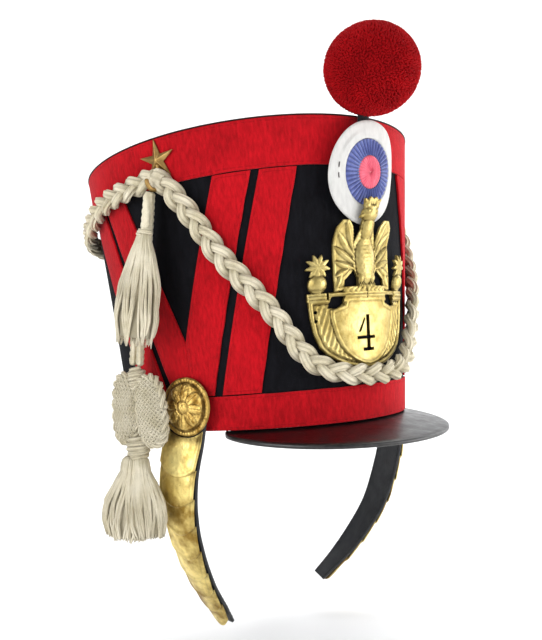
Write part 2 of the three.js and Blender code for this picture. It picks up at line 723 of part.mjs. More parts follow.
// Raquettes: two flat pads side by side, with a knot above them and one below
const padRows = [
  // x, y, z, half width, half height, half depth, swing in degrees, sides
  [-108.6, -3.6, 16.2, 11.6, 23, 4.8, 4, 10],
  [-103.8, -24, 14.6, 12, 22.6, 4.8, -4, 10],
  [-105.2, -12.6, 34, 6.4, 8, 4.6, 0, 8],
  [-106.8, -10.6, -6, 7, 6.4, 4.4, 0, 8],
];
const PAD_FACING = -72 * DEGREE; // turns the pads' flat sides out from the felt

function pad([x, y, z, halfWidth, halfHeight, halfDepth, swing, sides]) {
  return new THREE.SphereGeometry(1, sides, sides / 2 + 1)
    .scale(halfWidth, halfDepth, halfHeight)
    .rotateY(swing * DEGREE)
    .rotateZ(PAD_FACING)
    .translate(x, y, z);
}

function addTassels() {
  addPiece('tassel_upper', tassel(upperTasselRows, [-109.4, -47.5, 141.9], [-116, -31.2, 57]), creamCord);
  addPiece('raquettes', joined(padRows.map(pad)), creamCord);
  const lower = [
    tassel(lowerTasselRows, [-109, -7.5, -12.3], [-113, 1.5, -62]),
    tassel(lowerTasselRows, [-107.2, -13.5, -12.3], [-108, -18.6, -61], 0.76),
  ];
  addPiece('tassels_lower', joined(lower), creamCord);
}

// Chin straps. Rows run from under the boss to the free tip, as they lie on the wearer's left.
// Both start the same, and then the left one bends further in.

const strapTop = [
  // x, y, z, half width, turn of the width from the front-to-back line
  [85.7, -39.3, 25, 13, 19],
  [87, -37.4, 11, 14.5, 18.5],
  [88.5, -34.6, -5, 14.6, 16.5],
  [91, -30.4, -28, 14.2, 12.5],
];
const strapEnds = {
  right: [
    [88.4, -25.8, -52, 13.2, 10], [80, -20.6, -76, 11.2, 8], [66, -10.8, -99, 9.4, 6],
    [51, -1.6, -118, 8.2, 4], [40.6, 4, -131, 5.6, 3],
  ],
  left: [
    [89.3, -24.8, -48, 13.6, 10.5], [84.9, -14.7, -73.6, 12.2, 8], [75.9, -3.9, -94.3, 10.9, 6],
    [66.2, 5, -109.4, 9.4, 4], [50.6, 13.2, -124.8, 6.8, 3],
  ],
};

function makeStrap(name, side) {
  const rows = [...strapTop, ...strapEnds[name]];
  const curve = new THREE.CatmullRomCurve3(rows.map(([x, y, z]) => new THREE.Vector3(x, y, z)));
  return { name, side, rows, curve, length: curve.getLength() };
}

function strapFrame({ rows, curve, length }, along) {
  const share = THREE.MathUtils.clamp(along / length, 0, 1);
  const row = curve.getUtoTmapping(share) * (rows.length - 1);
  const index = Math.min(Math.floor(row), rows.length - 2);
  const blend = row - index;
  const halfWidth = mix(rows[index][3], rows[index + 1][3], blend);
  const turn = mix(rows[index][4], rows[index + 1][4], blend) * DEGREE;
  const tangent = curve.getTangentAt(share);
  const across = new THREE.Vector3(-Math.sin(turn), -Math.cos(turn), 0);
  across.addScaledVector(tangent, -across.dot(tangent)).normalize();
  const out = new THREE.Vector3().crossVectors(across, tangent).normalize();
  return { point: curve.getPointAt(share), tangent, across, out, halfWidth };
}

function strapPoint(strap, along, acrossShare, height, extra = 0) {
  const { point, across, out, halfWidth } = strapFrame(strap, along);
  point.addScaledVector(across, acrossShare * (halfWidth + extra)).addScaledVector(out, height);
  point.x *= strap.side;
  return point;
}

function addStrap(strap) {
  const face = (height) => (u, v) => strapPoint(strap, u * strap.length, 2 * v - 1, height);
  addPiece(`strap_${strap.name}`, sheetSolid(22, 2, face(strapSheet / 2), face(-strapSheet / 2)), blackLeather);
}

function addScales(strap) {
  const seat = strapSheet / 2 + CLEARANCE;
  const first = boss.along + boss.radius + CLEARANCE;
  const pitch = (strap.length - 1 - first) / (scales.count + scales.lap - 1);
  const length = pitch * scales.lap;
  const lift = (scales.sheet + scales.stacking * CLEARANCE) / pitch;
  for (let i = 0; i < scales.count; i += 1) {
    const start = first + i * pitch;
    const face = (height) => (u, v) => {
      const across = 2 * v - 1;
      const { halfWidth } = strapFrame(strap, start);
      const roundBoss = i > 0 ? 0
        : boss.radius - Math.sqrt(Math.max(0, boss.radius ** 2 - (across * halfWidth) ** 2));
      const top = start - scales.hollow * roundBoss;
      const end = start + length * (1 - scales.roundness * across * across);
      const along = mix(top, end, u);
      const rise = lift * Math.max(0, along - start) + scales.crown * (1 - across * across);
      return strapPoint(strap, along, across, seat + rise + height, scales.overhang);
    };
    addPiece(`scale_${strap.name}_${i + 1}`, sheetSolid(2, 4, face(scales.sheet), face(0)), brass);
  }
}

// Boss: a domed disc with a ring of petals

function addBoss(strap) {
  const rows = [
    // radius, height, petal depth
    [0, 0, 0], [boss.radius, 0, 0], [boss.radius, 1.4, 0], [16.2, 2.6, 0], [15, 2, 0], [13, 2.9, 0.4],
    [9, 4.1, 0.8], [5.4, 4.2, 0.3], [4.2, 5.2, 0], [0, 5.8, 0],
  ];
  const points = rows.map(([radius, height]) => new THREE.Vector2(radius, height));
  const disc = new THREE.LatheGeometry(points, 3 * boss.petals);
  mapVertices(disc, (corner) => {
    const radius = Math.hypot(corner.x, corner.z);
    const row = rows.find(([r, height]) => Math.abs(r - radius) < 0.01 && Math.abs(height - corner.y) < 0.01);
    corner.y += row[2] * Math.cos(boss.petals * Math.atan2(corner.x, corner.z));
    return corner;
  });
  const { point, tangent, across, out } = strapFrame(strap, boss.along);
  point.addScaledVector(out, strapSheet / 2 + CLEARANCE);
  disc.applyMatrix4(new THREE.Matrix4().makeBasis(across, out, tangent).setPosition(point));
  addPiece(`boss_${strap.name}`, disc.applyMatrix4(new THREE.Matrix4().makeScale(strap.side, 1, 1)), brass);
}

addCrown();
addTopPanel();
addPeak();
addCockade();
addPompom();
addPlate();
addPlaits();
addDropCord();
addTassels();
for (const [name, side] of [['right', -1], ['left', 1]]) {
  const strap = makeStrap(name, side);
  addChevrons(side, name);
  addStarHook(side, name);
  addStrap(strap);
  addBoss(strap);
  addScales(strap);
}

export default shako;
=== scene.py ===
"""Infantry shako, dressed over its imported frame: felt and cloth, brass plate and scales, wool and cords.

Lengths are in millimetres until a mesh is made. The front faces -Y and the wearer's right is -X.
"""

import bpy
import numpy as np
from mathutils import Matrix


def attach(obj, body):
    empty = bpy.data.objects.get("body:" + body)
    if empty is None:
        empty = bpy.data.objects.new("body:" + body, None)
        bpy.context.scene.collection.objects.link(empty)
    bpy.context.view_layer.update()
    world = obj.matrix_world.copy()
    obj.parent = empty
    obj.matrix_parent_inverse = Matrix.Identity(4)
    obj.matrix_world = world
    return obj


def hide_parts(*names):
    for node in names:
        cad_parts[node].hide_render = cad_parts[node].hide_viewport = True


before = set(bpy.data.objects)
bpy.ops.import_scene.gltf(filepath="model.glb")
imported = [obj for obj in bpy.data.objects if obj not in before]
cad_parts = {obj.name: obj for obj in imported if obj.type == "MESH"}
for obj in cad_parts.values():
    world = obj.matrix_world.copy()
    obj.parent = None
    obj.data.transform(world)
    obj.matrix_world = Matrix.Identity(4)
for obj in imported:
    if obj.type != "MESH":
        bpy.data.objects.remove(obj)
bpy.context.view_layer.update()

MM = 0.001
TURN = 2 * np.pi
SIDES = ((-1, "right"), (1, "left"))
rng = np.random.default_rng(4)


# Camera, from the photograph's viewing angle

CAMERA_PLACE = (-369.14, -472.01, 51.4)
CAMERA_RIGHT = (0.7765, -0.6257, -0.0751)
CAMERA_UP = (0.0438, -0.0653, 0.9969)
CAMERA_BACK = (-0.6286, -0.7774, -0.0233)
LENS = 48.37
SENSOR = 36.0


def facing(right, up, back, place):
    """The matrix of a camera or lamp that looks away from its back direction."""
    axes = Matrix((right, up, back)).transposed().to_4x4()
    axes.translation = place
    return axes


def add_to_scene(name, data):
    made = bpy.data.objects.new(name, data)
    bpy.context.collection.objects.link(made)
    return made


def add_camera():
    data = bpy.data.cameras.new("camera")
    data.lens = LENS
    data.sensor_width = SENSOR
    data.clip_start, data.clip_end = 0.01, 30
    camera = add_to_scene("camera", data)
    camera.matrix_world = facing(CAMERA_RIGHT, CAMERA_UP, CAMERA_BACK, [v * MM for v in CAMERA_PLACE])
    bpy.context.scene.camera = camera


add_camera()


# Shaders

def linear(red, green, blue):
    """A colour given as 0 to 255 on screen, as the shader wants it."""
    c = np.array([red, green, blue]) / 255
    return (*np.where(c <= 0.04045, c / 12.92, ((c + 0.055) / 1.055) ** 2.4), 1.0)


def socket_name(key):
    return key.replace("_", " ").title().replace("Ior", "IOR")


class Shader:
    """A Principled material and short ways to wire nodes into it."""

    def __init__(self, name, **values):
        self.material = bpy.data.materials.new(name)
        self.material.use_nodes = True
        self.tree = self.material.node_tree
        self.surface = self.tree.nodes["Principled BSDF"]
        for key, value in values.items():
            self.surface.inputs[socket_name(key)].default_value = value
        self.place = self.node("TexCoord").outputs["Object"]
        lay = self.node("Attribute", attribute_name="lay").outputs["Vector"]
        self.across, self.along, self.depth = self.node("SeparateXYZ", {0: lay}).outputs

    def node(self, kind, inputs=(), **settings):
        made = self.tree.nodes.new("ShaderNode" + kind)
        for key, value in settings.items():
            setattr(made, key, value)
        for key, value in dict(inputs).items():
            if isinstance(value, bpy.types.NodeSocket):
                self.tree.links.new(value, made.inputs[key])
            else:
                made.inputs[key].default_value = value
        return made

    def calc(self, operation, *values, clamp=False):
        return self.node("Math", dict(enumerate(values)), operation=operation, use_clamp=clamp).outputs[0]

    def times(self, first, second, clamp=False):
        return self.calc("MULTIPLY", first, second, clamp=clamp)

    def blend(self, first, share, second):
        return self.calc("ADD", self.times(first, share), self.times(second, 1 - share))

    def noise(self, scale, detail, stretch=None):
        place = self.place
        if stretch:
            place = self.node("Mapping", {"Vector": place, "Scale": stretch}).outputs[0]
        inputs = {"Vector": place, "Scale": scale, "Detail": detail, "Roughness": 0.55}
        return self.node("TexNoise", inputs).outputs["Fac"]

    def remap(self, value, low, high, to_low=0.0, to_high=1.0):
        return self.node("MapRange", {0: value, 1: low, 2: high, 3: to_low, 4: to_high}).outputs[0]

    def ramp(self, value, *stops):
        """A value turned into a colour between two stops, each a position and a screen colour."""
        made = self.node("ValToRGB", {"Fac": value})
        for element, (position, colour) in zip(made.color_ramp.elements, stops):
            element.position = position
            element.color = linear(*colour)
        return made.outputs["Color"]

    def tint(self, colour, toward, factor):
        """The colour taken by the factor toward a screen colour."""
        return self.node("Mix", {0: factor, 6: colour, 7: linear(*toward)}, data_type="RGBA").outputs[2]

    def bump(self, height, distance, strength, normal=None):
        inputs = {"Height": height, "Distance": distance, "Strength": strength}
        if normal:
            inputs["Normal"] = normal
        return self.node("Bump", inputs).outputs[0]

    def link(self, **sockets):
        for key, socket in sockets.items():
            self.tree.links.new(socket, self.surface.inputs[socket_name(key)])
        return self.material


STITCH_INSET = 1.7
STITCH_PITCH = 4.2


def wool_cloth(name, dark, light, nap=420, nap_bump=0.00022, sheen=0.3, sheen_tint=(1, 1, 1, 1),
               stitched=False, painted_fold_shade=None):
    """Fulled wool: fibres that lie mostly one way, soft blotches and, on sewn strips, a row of stitches."""
    s = Shader(name, roughness=0.95, sheen_weight=sheen, sheen_roughness=0.45, sheen_tint=sheen_tint,
               specular_ior_level=0.15)
    streak = s.noise(nap, 4, stretch=(1, 1, 0.3))
    fibre = s.noise(2400, 2)
    colour = s.ramp(s.blend(streak, 0.6, s.noise(26, 4)), (0.36, dark), (0.64, light))
    colour = s.tint(colour, light, s.remap(fibre, 0.35, 0.7, 0.0, 0.3))
    normal = s.bump(s.calc("MULTIPLY_ADD", fibre, 0.7, streak), nap_bump, 0.9)
    # Painted shade: the colour is taken toward this darker one by the lay's depth, which the cockade rings
    # set in the valleys of their pleats.
    if painted_fold_shade:
        colour = s.tint(colour, painted_fold_shade, s.times(s.remap(s.depth, 0, 1), 0.8))
    if stitched:
        beside = s.calc("ABSOLUTE", s.calc("SUBTRACT", s.across, STITCH_INSET))
        dash = s.remap(s.calc("PINGPONG", s.along, STITCH_PITCH / 2), 0.55, 0.95)
        stitch = s.times(s.remap(beside, 0.12, 0.45, 1, 0), dash)
        colour = s.tint(colour, [v * 0.55 for v in dark], s.times(stitch, 0.25))
        normal = s.bump(stitch, -0.00025, 0.5, normal)
    return s.link(base_color=colour, normal=normal)


def leather(name, dark, light, roughness, coat, rub):
    """Blacked leather: pebbled grain, faint creases, and a rub along its edges."""
    s = Shader(name, coat_weight=coat, coat_roughness=0.16, specular_ior_level=0.5)
    colour = s.ramp(s.noise(48, 5), (0.35, dark), (0.7, light))
    edge = s.times(s.remap(s.depth, 0.25, 1.0), s.remap(s.noise(300, 4), 0.35, 0.65))
    colour = s.tint(colour, rub, s.times(edge, 0.75))
    pebble = s.node("TexVoronoi", {"Vector": s.place, "Scale": 950}).outputs["Distance"]
    crease = s.noise(210, 5, stretch=(1, 1, 0.5))
    normal = s.bump(crease, 0.00025, 0.5, s.bump(pebble, 0.00009, 0.8))
    rough = s.remap(s.noise(120, 4), 0.3, 0.75, roughness, roughness + 0.22)
    return s.link(base_color=colour, normal=normal, roughness=rough)


def brass(name, bright, dull, stain, mottle=170, roughness=0.3, dents=0.0005):
    """Stamped sheet brass: mottled and finely dented, and stained in its hollows."""
    s = Shader(name, metallic=1.0)
    tone = s.blend(s.noise(mottle, 5), 0.55, s.noise(38, 4))
    colour = s.ramp(tone, (0.38, dull), (0.58, bright))
    hollow = s.times(s.depth, s.remap(s.noise(260, 4), 0.25, 0.6, 0.45, 1.0), clamp=True)
    colour = s.tint(colour, stain, hollow)
    colour = s.tint(colour, stain, s.times(s.remap(s.noise(900, 3), 0.66, 0.74), 0.6))
    dented = s.bump(s.noise(mottle * 1.6, 4), dents, 0.55)
    normal = s.bump(s.noise(1500, 2), 0.00006, 0.5, dented)
    rough = s.remap(tone, 0.35, 0.7, roughness + 0.2, roughness)
    rough = s.calc("ADD", rough, s.times(hollow, 0.25), clamp=True)
    return s.link(base_color=colour, normal=normal, roughness=rough)


def yarn(name, dark, light, shade, ply, plies, sheen=0.2, fuzz=0.000256):
    """Twisted yarn: slanting plies, soft fibres, and shade between strands. Across is in turns round it."""
    s = Shader(name, roughness=0.92, sheen_weight=sheen, sheen_roughness=0.5, specular_ior_level=0.15)
    slant = s.calc("ADD", s.calc("DIVIDE", s.along, ply), s.times(s.across, plies))
    twist = s.calc("MULTIPLY_ADD", s.calc("SINE", s.times(slant, TURN)), 0.5, 0.5)
    fibre = s.noise(2600, 2)
    colour = s.ramp(s.blend(s.noise(90, 4), 0.6, fibre), (0.36, dark), (0.62, light))
    colour = s.tint(colour, shade, s.remap(twist, 0.0, 0.45, 0.34, 0.0))
    colour = s.tint(colour, shade, s.times(s.depth, 0.85, clamp=True))
    normal = s.bump(s.calc("MULTIPLY_ADD", fibre, 0.6, twist), fuzz, 0.8)
    return s.link(base_color=colour, normal=normal)


FELT = wool_cloth("felt", (5, 5, 8), (17, 17, 22), nap=300, nap_bump=0.0003, sheen=0.0)
RED_CLOTH = wool_cloth("red_cloth", (138, 4, 12), (190, 12, 25), nap=620, sheen=0.34,
                       sheen_tint=linear(255, 130, 136), stitched=True)
# The last colour given to the white, blue and rose felts is painted shade for the valleys of the cockade's
# pleats.
WHITE_FELT = wool_cloth("white_felt", (194, 193, 190), (214, 213, 209), nap=380, sheen=0.15,
                        painted_fold_shade=(170, 168, 176))
BLUE_FELT = wool_cloth("blue_felt", (78, 88, 150), (126, 138, 198), sheen=0.35, painted_fold_shade=(34, 38, 86))
ROSE_FELT = wool_cloth("rose_felt", (212, 68, 94), (240, 122, 140), sheen=0.35, painted_fold_shade=(120, 20, 34))
STEM_WOOL = wool_cloth("stem_wool", (12, 12, 14), (34, 33, 36), nap=500)
PEAK_LEATHER = leather("peak_leather", (4, 4, 5), (11, 9, 9), 0.3, 0.16, (40, 38, 36))
TOP_LEATHER = leather("top_leather", (16, 11, 10), (34, 23, 19), 0.5, 0.0, (60, 40, 32))
STRAP_LEATHER = leather("strap_leather", (8, 10, 14), (20, 22, 28), 0.5, 0.05, (38, 38, 40))
PLATE_BRASS = brass("plate_brass", (190, 172, 112), (160, 140, 80), (48, 34, 14), dents=0.0008,
                    roughness=0.32)
TRIM_BRASS = brass("trim_brass", (242, 220, 140), (152, 122, 56), (64, 44, 16), mottle=120, dents=0.0009,
                   roughness=0.26)
STAR_BRASS = brass("star_brass", (190, 158, 98), (112, 80, 42), (48, 30, 16), mottle=110, roughness=0.36)
BOSS_BRASS = brass("boss_brass", (232, 200, 118), (140, 106, 46), (64, 42, 16), mottle=240, dents=0.0015,
                   roughness=0.24)
CREAM_CORD = yarn("cream_cord", (198, 187, 154), (230, 221, 197), (104, 92, 66), ply=60, plies=6,
                  fuzz=0.00064)
CREAM_WOOL = yarn("cream_wool", (202, 192, 163), (232, 224, 202), (104, 94, 68), ply=40, plies=2,
                  fuzz=0.00016)
RED_WOOL = yarn("red_wool", (144, 0, 7), (178, 6, 15), (96, 0, 5), ply=900, plies=0, sheen=0.0)
THREAD = yarn("thread", (40, 34, 34), (70, 60, 58), (20, 18, 18), ply=0.8, plies=2, sheen=0.35)


# Mesh building

class Build:
    """Gathers grids into one mesh. Lay is a face corner's place across, its place along and its depth."""

    def __init__(self):
        self.points, self.faces, self.lays, self.count = [], [], [], 0

    def add(self, points, faces, lay):
        """Points, and faces that count from the first of them."""
        points = np.asarray(points, float).reshape(-1, 3)
        faces = np.asarray(faces, int)
        self.points.append(points)
        self.faces.append(faces + self.count)
        self.lays.append(np.broadcast_to(lay, (*faces.shape, 3)).reshape(-1, 3))
        self.count += len(points)

    def join(self, faces, depth):
        """Faces between points that are in the mesh already."""
        self.add(np.empty((0, 3)), faces - self.count, (0.0, 0.0, depth))

    def grid(self, points, across=0.0, along=0.0, depth=0.0, wrap=(False, False), flip=False, keep=None):
        """Points in rows and columns. Across and along go one row or column further where the grid wraps."""
        rows, columns = points.shape[:2]
        extra = ((0, wrap[0]), (0, wrap[1]))
        size = (rows + wrap[0], columns + wrap[1])
        index = np.pad(np.arange(rows * columns).reshape(rows, columns), extra, mode="wrap")
        deep = np.pad(np.broadcast_to(depth, (rows, columns)), extra, mode="wrap")
        lay = np.stack([np.broadcast_to(across, size), np.broadcast_to(along, size), deep], -1)

        def corners(a):
            return np.stack([a[:-1, :-1], a[1:, :-1], a[1:, 1:], a[:-1, 1:]], 2)

        faces, lays = corners(index), corners(lay)
        if keep is not None:
            faces, lays = faces[keep], lays[keep]
        faces, lays = faces.reshape(-1, 4), lays.reshape(-1, 4, 3)
        if flip:
            faces, lays = faces[:, ::-1], lays[:, ::-1]
        self.add(points, faces, lays)

    def rings(self, rings, along=0.0, depth=0.0, across=None, caps=(True, True), cap_depth=0.3):
        """A tube through rings of points, with its ends closed. Across is in turns unless it is given."""
        count, sides = rings.shape[:2]
        start = self.count
        if across is None:
            across = np.linspace(0, 1, sides + 1)[None, :]
        self.grid(rings, across, np.asarray(along, float).reshape(-1, 1), depth, wrap=(False, True))
        for wanted, first, step in ((caps[0], start, 1), (caps[1], start + (count - 1) * sides, -1)):
            if wanted:
                self.join((first + np.arange(sides)[::step])[None, :], cap_depth)

    def sheet(self, front, back, across, along, depths, keep=None, flip=False):
        """Two grids and the walls along their edges. Depths are those of front, back and walls."""
        rows, columns = front.shape[:2]
        if keep is None:
            keep = np.ones((rows - 1, columns - 1), bool)
        index = self.count + np.arange(rows * columns).reshape(rows, columns)
        self.grid(front, across, along, depths[0], keep=keep, flip=flip)
        self.grid(back, across, along, depths[1], keep=keep, flip=not flip)
        edges = []
        for a, b, pad in ((index[:-1], index[1:], (0, 1)), (index[:, 1:], index[:, :-1], (1, 0))):
            before = np.pad(keep, [(n, 0) for n in pad])
            after = np.pad(keep, [(0, n) for n in pad])
            edges.append(np.stack([b, a], -1)[before & ~after])
            edges.append(np.stack([a, b], -1)[after & ~before])
        start, end = np.concatenate(edges).T
        walls = np.stack([end, start, start + index.size, end + index.size], 1)
        self.join(walls[:, ::-1] if flip else walls, depths[2])

    def piece(self, name, material, nodes=(), sharp=None, bevel=0.0):
        points = np.concatenate(self.points) * MM
        sizes = np.concatenate([np.full(len(f), f.shape[1]) for f in self.faces])
        corners = np.concatenate([f.ravel() for f in self.faces])
        mesh = bpy.data.meshes.new(name)
        mesh.vertices.add(len(points))
        mesh.vertices.foreach_set("co", points.ravel())
        mesh.loops.add(len(corners))
        mesh.polygons.add(len(sizes))
        mesh.polygons.foreach_set("loop_start", np.concatenate([[0], np.cumsum(sizes)[:-1]]))
        mesh.polygons.foreach_set("vertices", corners)
        mesh.polygons.foreach_set("use_smooth", np.ones(len(sizes), bool))
        lay = mesh.attributes.new("lay", "FLOAT_VECTOR", "CORNER")
        lay.data.foreach_set("vector", np.concatenate(self.lays).ravel())
        mesh.update(calc_edges=True)
        mesh.validate()
        if sharp:
            mesh.set_sharp_from_angle(angle=np.radians(sharp))
        mesh.materials.append(material)
        made = add_to_scene(name, mesh)
        if bevel:
            soften = made.modifiers.new("soften", "BEVEL")
            soften.width = bevel * MM
            soften.segments = 2
            soften.limit_method = "ANGLE"
            soften.angle_limit = np.radians(35)
        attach(made, "root")
        if nodes:
            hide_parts(*nodes)
        return made


def unit(v):
    return v / np.maximum(np.linalg.norm(v, axis=-1, keepdims=True), 1e-12)


def smooth_path(points, each=24):
    """A centripetal Catmull-Rom curve through the points, and the row number of each of its points."""
    p = np.asarray(points, float)
    p = np.vstack([2 * p[0] - p[1], p, 2 * p[-1] - p[-2]])
    out, rows = [], []
    for i in range(1, len(p) - 2):
        a, b, c, d = p[i - 1:i + 3, None]
        d0, d1, d2 = (max(np.linalg.norm(w - v), 1e-6) ** 0.5 for v, w in ((a, b), (b, c), (c, d)))
        m1 = ((b - a) / d0 - (c - a) / (d0 + d1) + (c - b) / d1) * d1
        m2 = ((c - b) / d1 - (d - b) / (d1 + d2) + (d - c) / d2) * d1
        t = np.linspace(0, 1, each, endpoint=False)[:, None]
        out.append(b + m1 * t + (3 * (c - b) - 2 * m1 - m2) * t ** 2 + (m1 + m2 - 2 * (c - b)) * t ** 3)
        rows.append(i - 1 + t[:, 0])
    return np.vstack([*out, p[-2]]), np.append(np.concatenate(rows), len(p) - 3)


def lengths(path):
    return np.concatenate([[0], np.cumsum(np.linalg.norm(np.diff(path, axis=0), axis=1))])


def on_path(path, at, wanted):
    return np.stack([np.interp(wanted, at, path[:, k]) for k in range(3)], -1)


def resample(path, spacing):
    """The path in even steps, and the length along it at each of them."""
    at = lengths(path)
    wanted = np.linspace(0, at[-1], max(2, int(round(at[-1] / spacing)) + 1))
    return on_path(path, at, wanted), wanted


def ride_frames(path, out=None):
    """The outward and sideways directions along a path. Out is what the outward one leans to."""
    tangent = unit(np.gradient(path, axis=0))
    if out is None:
        carried = np.array([0.3, 0.1, 1.0]) if abs(tangent[0, 2]) < 0.8 else np.array([1.0, 0.2, 0.1])
        out = np.empty_like(path)
        for i, t in enumerate(tangent):
            carried = carried - (carried @ t) * t
            carried = carried / np.linalg.norm(carried)
            out[i] = carried
    out = unit(out - (out * tangent).sum(1, keepdims=True) * tangent)
    return out, np.cross(tangent, out)


def tube_rings(path, radius, sides=8, lobes=0, lobe_depth=0.0, twist=0.0, out=None, flat=1.0):
    """Rings round a path. Lobes turn once in each twist's length, and flat thins the section outwards."""
    outward, sideways = ride_frames(path, out)
    radius = np.broadcast_to(radius, len(path))[:, None]
    turn = np.linspace(0, TURN, sides, endpoint=False)[None, :]
    phase = lengths(path)[:, None] / twist * TURN if twist else 0.0
    reach = radius * (1 + lobe_depth * np.cos(lobes * (turn - phase)))
    return (path[:, None] + (reach * np.cos(turn) * flat)[..., None] * outward[:, None]
            + (reach * np.sin(turn))[..., None] * sideways[:, None])


STRAND_END = 0.55
ROUND_WIRE = {"lobes": 0, "lobe_depth": 0.0, "twist": 0.0}


def add_strand(build, path, radius, sides=8, lobes=3, lobe_depth=0.14, twist=14.0, depth=0.0, out=None,
               flat=1.0):
    """A soft twisted strand with narrowed ends."""
    rings = tube_rings(path, radius, sides, lobes, lobe_depth, twist, out, flat)
    for end in (0, -1):
        centre = rings[end].mean(0)
        rings[end] = centre + (rings[end] - centre) * STRAND_END
    build.rings(rings, lengths(path), depth)


def unit_ball(rings, sides, pole=0.02):
    """Width, depth and height of a ball's rings from its foot up, cut flat a little at its poles."""
    rise = np.linspace(pole, 1 - pole, rings)[:, None] * np.pi
    turn = np.linspace(0, TURN, sides, endpoint=False)[None, :]
    return np.sin(rise) * np.cos(turn), np.sin(rise) * np.sin(turn), -np.cos(rise) + 0 * turn


def ripple(angle, level, seed, waves=((3, 1.4), (5, 2.6), (9, 4.2))):
    """A slow unevenness over the hat, from -1 to 1, as hand-blocked felt has."""
    phases = np.random.default_rng(seed).uniform(0, TURN, (len(waves), 2))
    total = sum(np.sin(np.radians(angle) * n + p) * np.sin(level * m * 3 + q)
                for (n, m), (p, q) in zip(waves, phases))
    return total / len(waves)


# The hat's form. Angle is in degrees from the front, positive to the wearer's left.

RIM_HALF = (86.0, 103.0)
TOP_HALF = (106.8, 109.2)
HEIGHT = 170.6
TOP_SHIFT = -1.7
TOP_SLOPE = 0.0876
WALL = 2.6
CLEARANCE = 0.35
CLOTH = 1.25
CLOTH_OUTER = CLEARANCE + CLOTH
FRONT_HEIGHT = HEIGHT + TOP_SLOPE * (TOP_HALF[1] - TOP_SHIFT)
AROUND = np.arange(0, 360, 2.0)
GIRTH_RADIUS = 100


def hat_point(angle, level, offset=0.0, share=1.0):
    """A place at a level from 0 to 1 and a share of the way to the felt, or out from it by the offset."""
    arrays = (np.asarray(v, float) for v in (angle, level, offset, share))
    angle, level, offset, share = np.broadcast_arrays(*arrays)
    half_width = (RIM_HALF[0] + (TOP_HALF[0] - RIM_HALF[0]) * level) * share
    half_depth = (RIM_HALF[1] + (TOP_HALF[1] - RIM_HALF[1]) * level) * share
    sine, cosine = np.sin(np.radians(angle)), np.cos(np.radians(angle))
    shift = TOP_SHIFT * level
    height = HEIGHT + TOP_SLOPE * (half_depth * cosine - shift)
    x = (half_width + offset) * sine
    y = shift - (half_depth + offset) * cosine
    return np.stack([x, y, height * level], -1)


def hat_frame(angle, level, offset=0.0):
    """A place on the hat and its directions round, up and straight out."""
    step = 0.01
    here = hat_point(angle, level, offset)
    around = unit(hat_point(angle + step, level, offset) - here)
    up = unit(hat_point(angle, level + step, offset) - here)
    out = unit(np.cross(around, up))
    return here, around, np.cross(out, around), out


def turned(build, profile, place, across=0.0):
    """A closed profile of (out, level) turned round the hat."""
    out, level = np.array(profile, float).T[:, :, None]
    girth = np.radians(np.append(AROUND, 360.0))[None, :] * GIRTH_RADIUS
    build.grid(place(AROUND[None, :], out, level), across, girth, wrap=(True, True))


def rounded_wall(inner, outer, low, high, radius, rows=40):
    """The profile of a wall with rounded outer corners, run upwards outside and down inside."""
    step = radius / HEIGHT
    corner = np.linspace(0, np.pi / 2, 4)
    foot = [(outer - radius * (1 - np.sin(a)), low + step * (1 - np.cos(a))) for a in corner]
    head = [(outer - radius * (1 - np.cos(a)), high - step * (1 - np.sin(a))) for a in corner]
    side = [(outer, v) for v in np.linspace(low + step, high - step, rows)[1:-1]]
    inside = [(inner, v) for v in np.linspace(high, low, rows)]
    return foot + side + head + inside


# Cords first: two plaits on the hat, and the drop cord with its pads and tassels

FRONT_PLAIT_HALF = [
    # angle, level, how far out
    (-68, 0.866, 10.2), (-64.3, 0.832, 7.6), (-62.2, 0.793, 7.4), (-59.6, 0.748, 7.4), (-56.4, 0.692, 7.4),
    (-53.8, 0.638, 7.4), (-51, 0.586, 7.4), (-47.6, 0.533, 7.4), (-43.8, 0.481, 7.4), (-40, 0.429, 7.4),
    (-36.2, 0.375, 7.4), (-32.8, 0.319, 7.4), (-29.6, 0.264, 7.6), (-25.6, 0.215, 8.2), (-20, 0.18, 9.2),
    (-12, 0.158, 10),
]
FRONT_PLAIT_MIDDLE = (0, 0.15, 10.2)
BACK_PLAIT_HALF = [
    (-67, 0.866, 9.6), (-71.4, 0.862, 7.8), (-76, 0.857, 7.7), (-82, 0.852, 7.7), (-88.5, 0.846, 7.7),
    (-96, 0.835, 7.7), (-102.5, 0.817, 7.7), (-109, 0.8, 7.7), (-116, 0.785, 7.7), (-124, 0.775, 7.7),
    (-134, 0.77, 7.7), (-146, 0.768, 7.7), (-162, 0.766, 7.7),
]
BACK_PLAIT_MIDDLE = (180, 0.765, 7.7)
# Degrees that each row lies further back on the wearer's left, from the hook on
FRONT_PLAIT_LAG = [8, 7.8, 8, 8, 7.6, 5.7, 5, 4.4, 3.2, 1.5, 0, -1.5, -3, -3.5, -3, -2]
BACK_PLAIT_LAG = [8, 8, 6, 4, 2]
DROP_CORD = [
    # x, y, z
    (-105.9, -43.3, 142.6), (-105, -38.6, 128), (-104.6, -33.6, 112), (-104.4, -28.4, 96), (-104, -23.2, 80),
    (-103.8, -18, 66), (-104.2, -13.8, 54), (-104.9, -12, 42.1),
]
PLAIT_STRAND, PLAIT_SIDES, PLAIT_WIDTH, PLAIT_PITCH = 2.6, 30, 12.4, 37.0
PLAIT_SWING, PLAIT_CROSS, PLAIT_CLOSER = 4.05, 2.15, 0.9
PLAIT_WANDER, PLAIT_WANDER_RUN = 0.06, 31.0
BINDING_RADIUS, BINDING_STEPS = 4.6, 6
DROP_WIDTH, DROP_STRAND, DROP_APART, DROP_SWELL = 6.8, 1.72, 1.75, 0.4
CORD_STEP, CORD_PATH_STEP = 1.3, 4.0
SIDE_OUT = (-0.93, -0.365, 0.0)


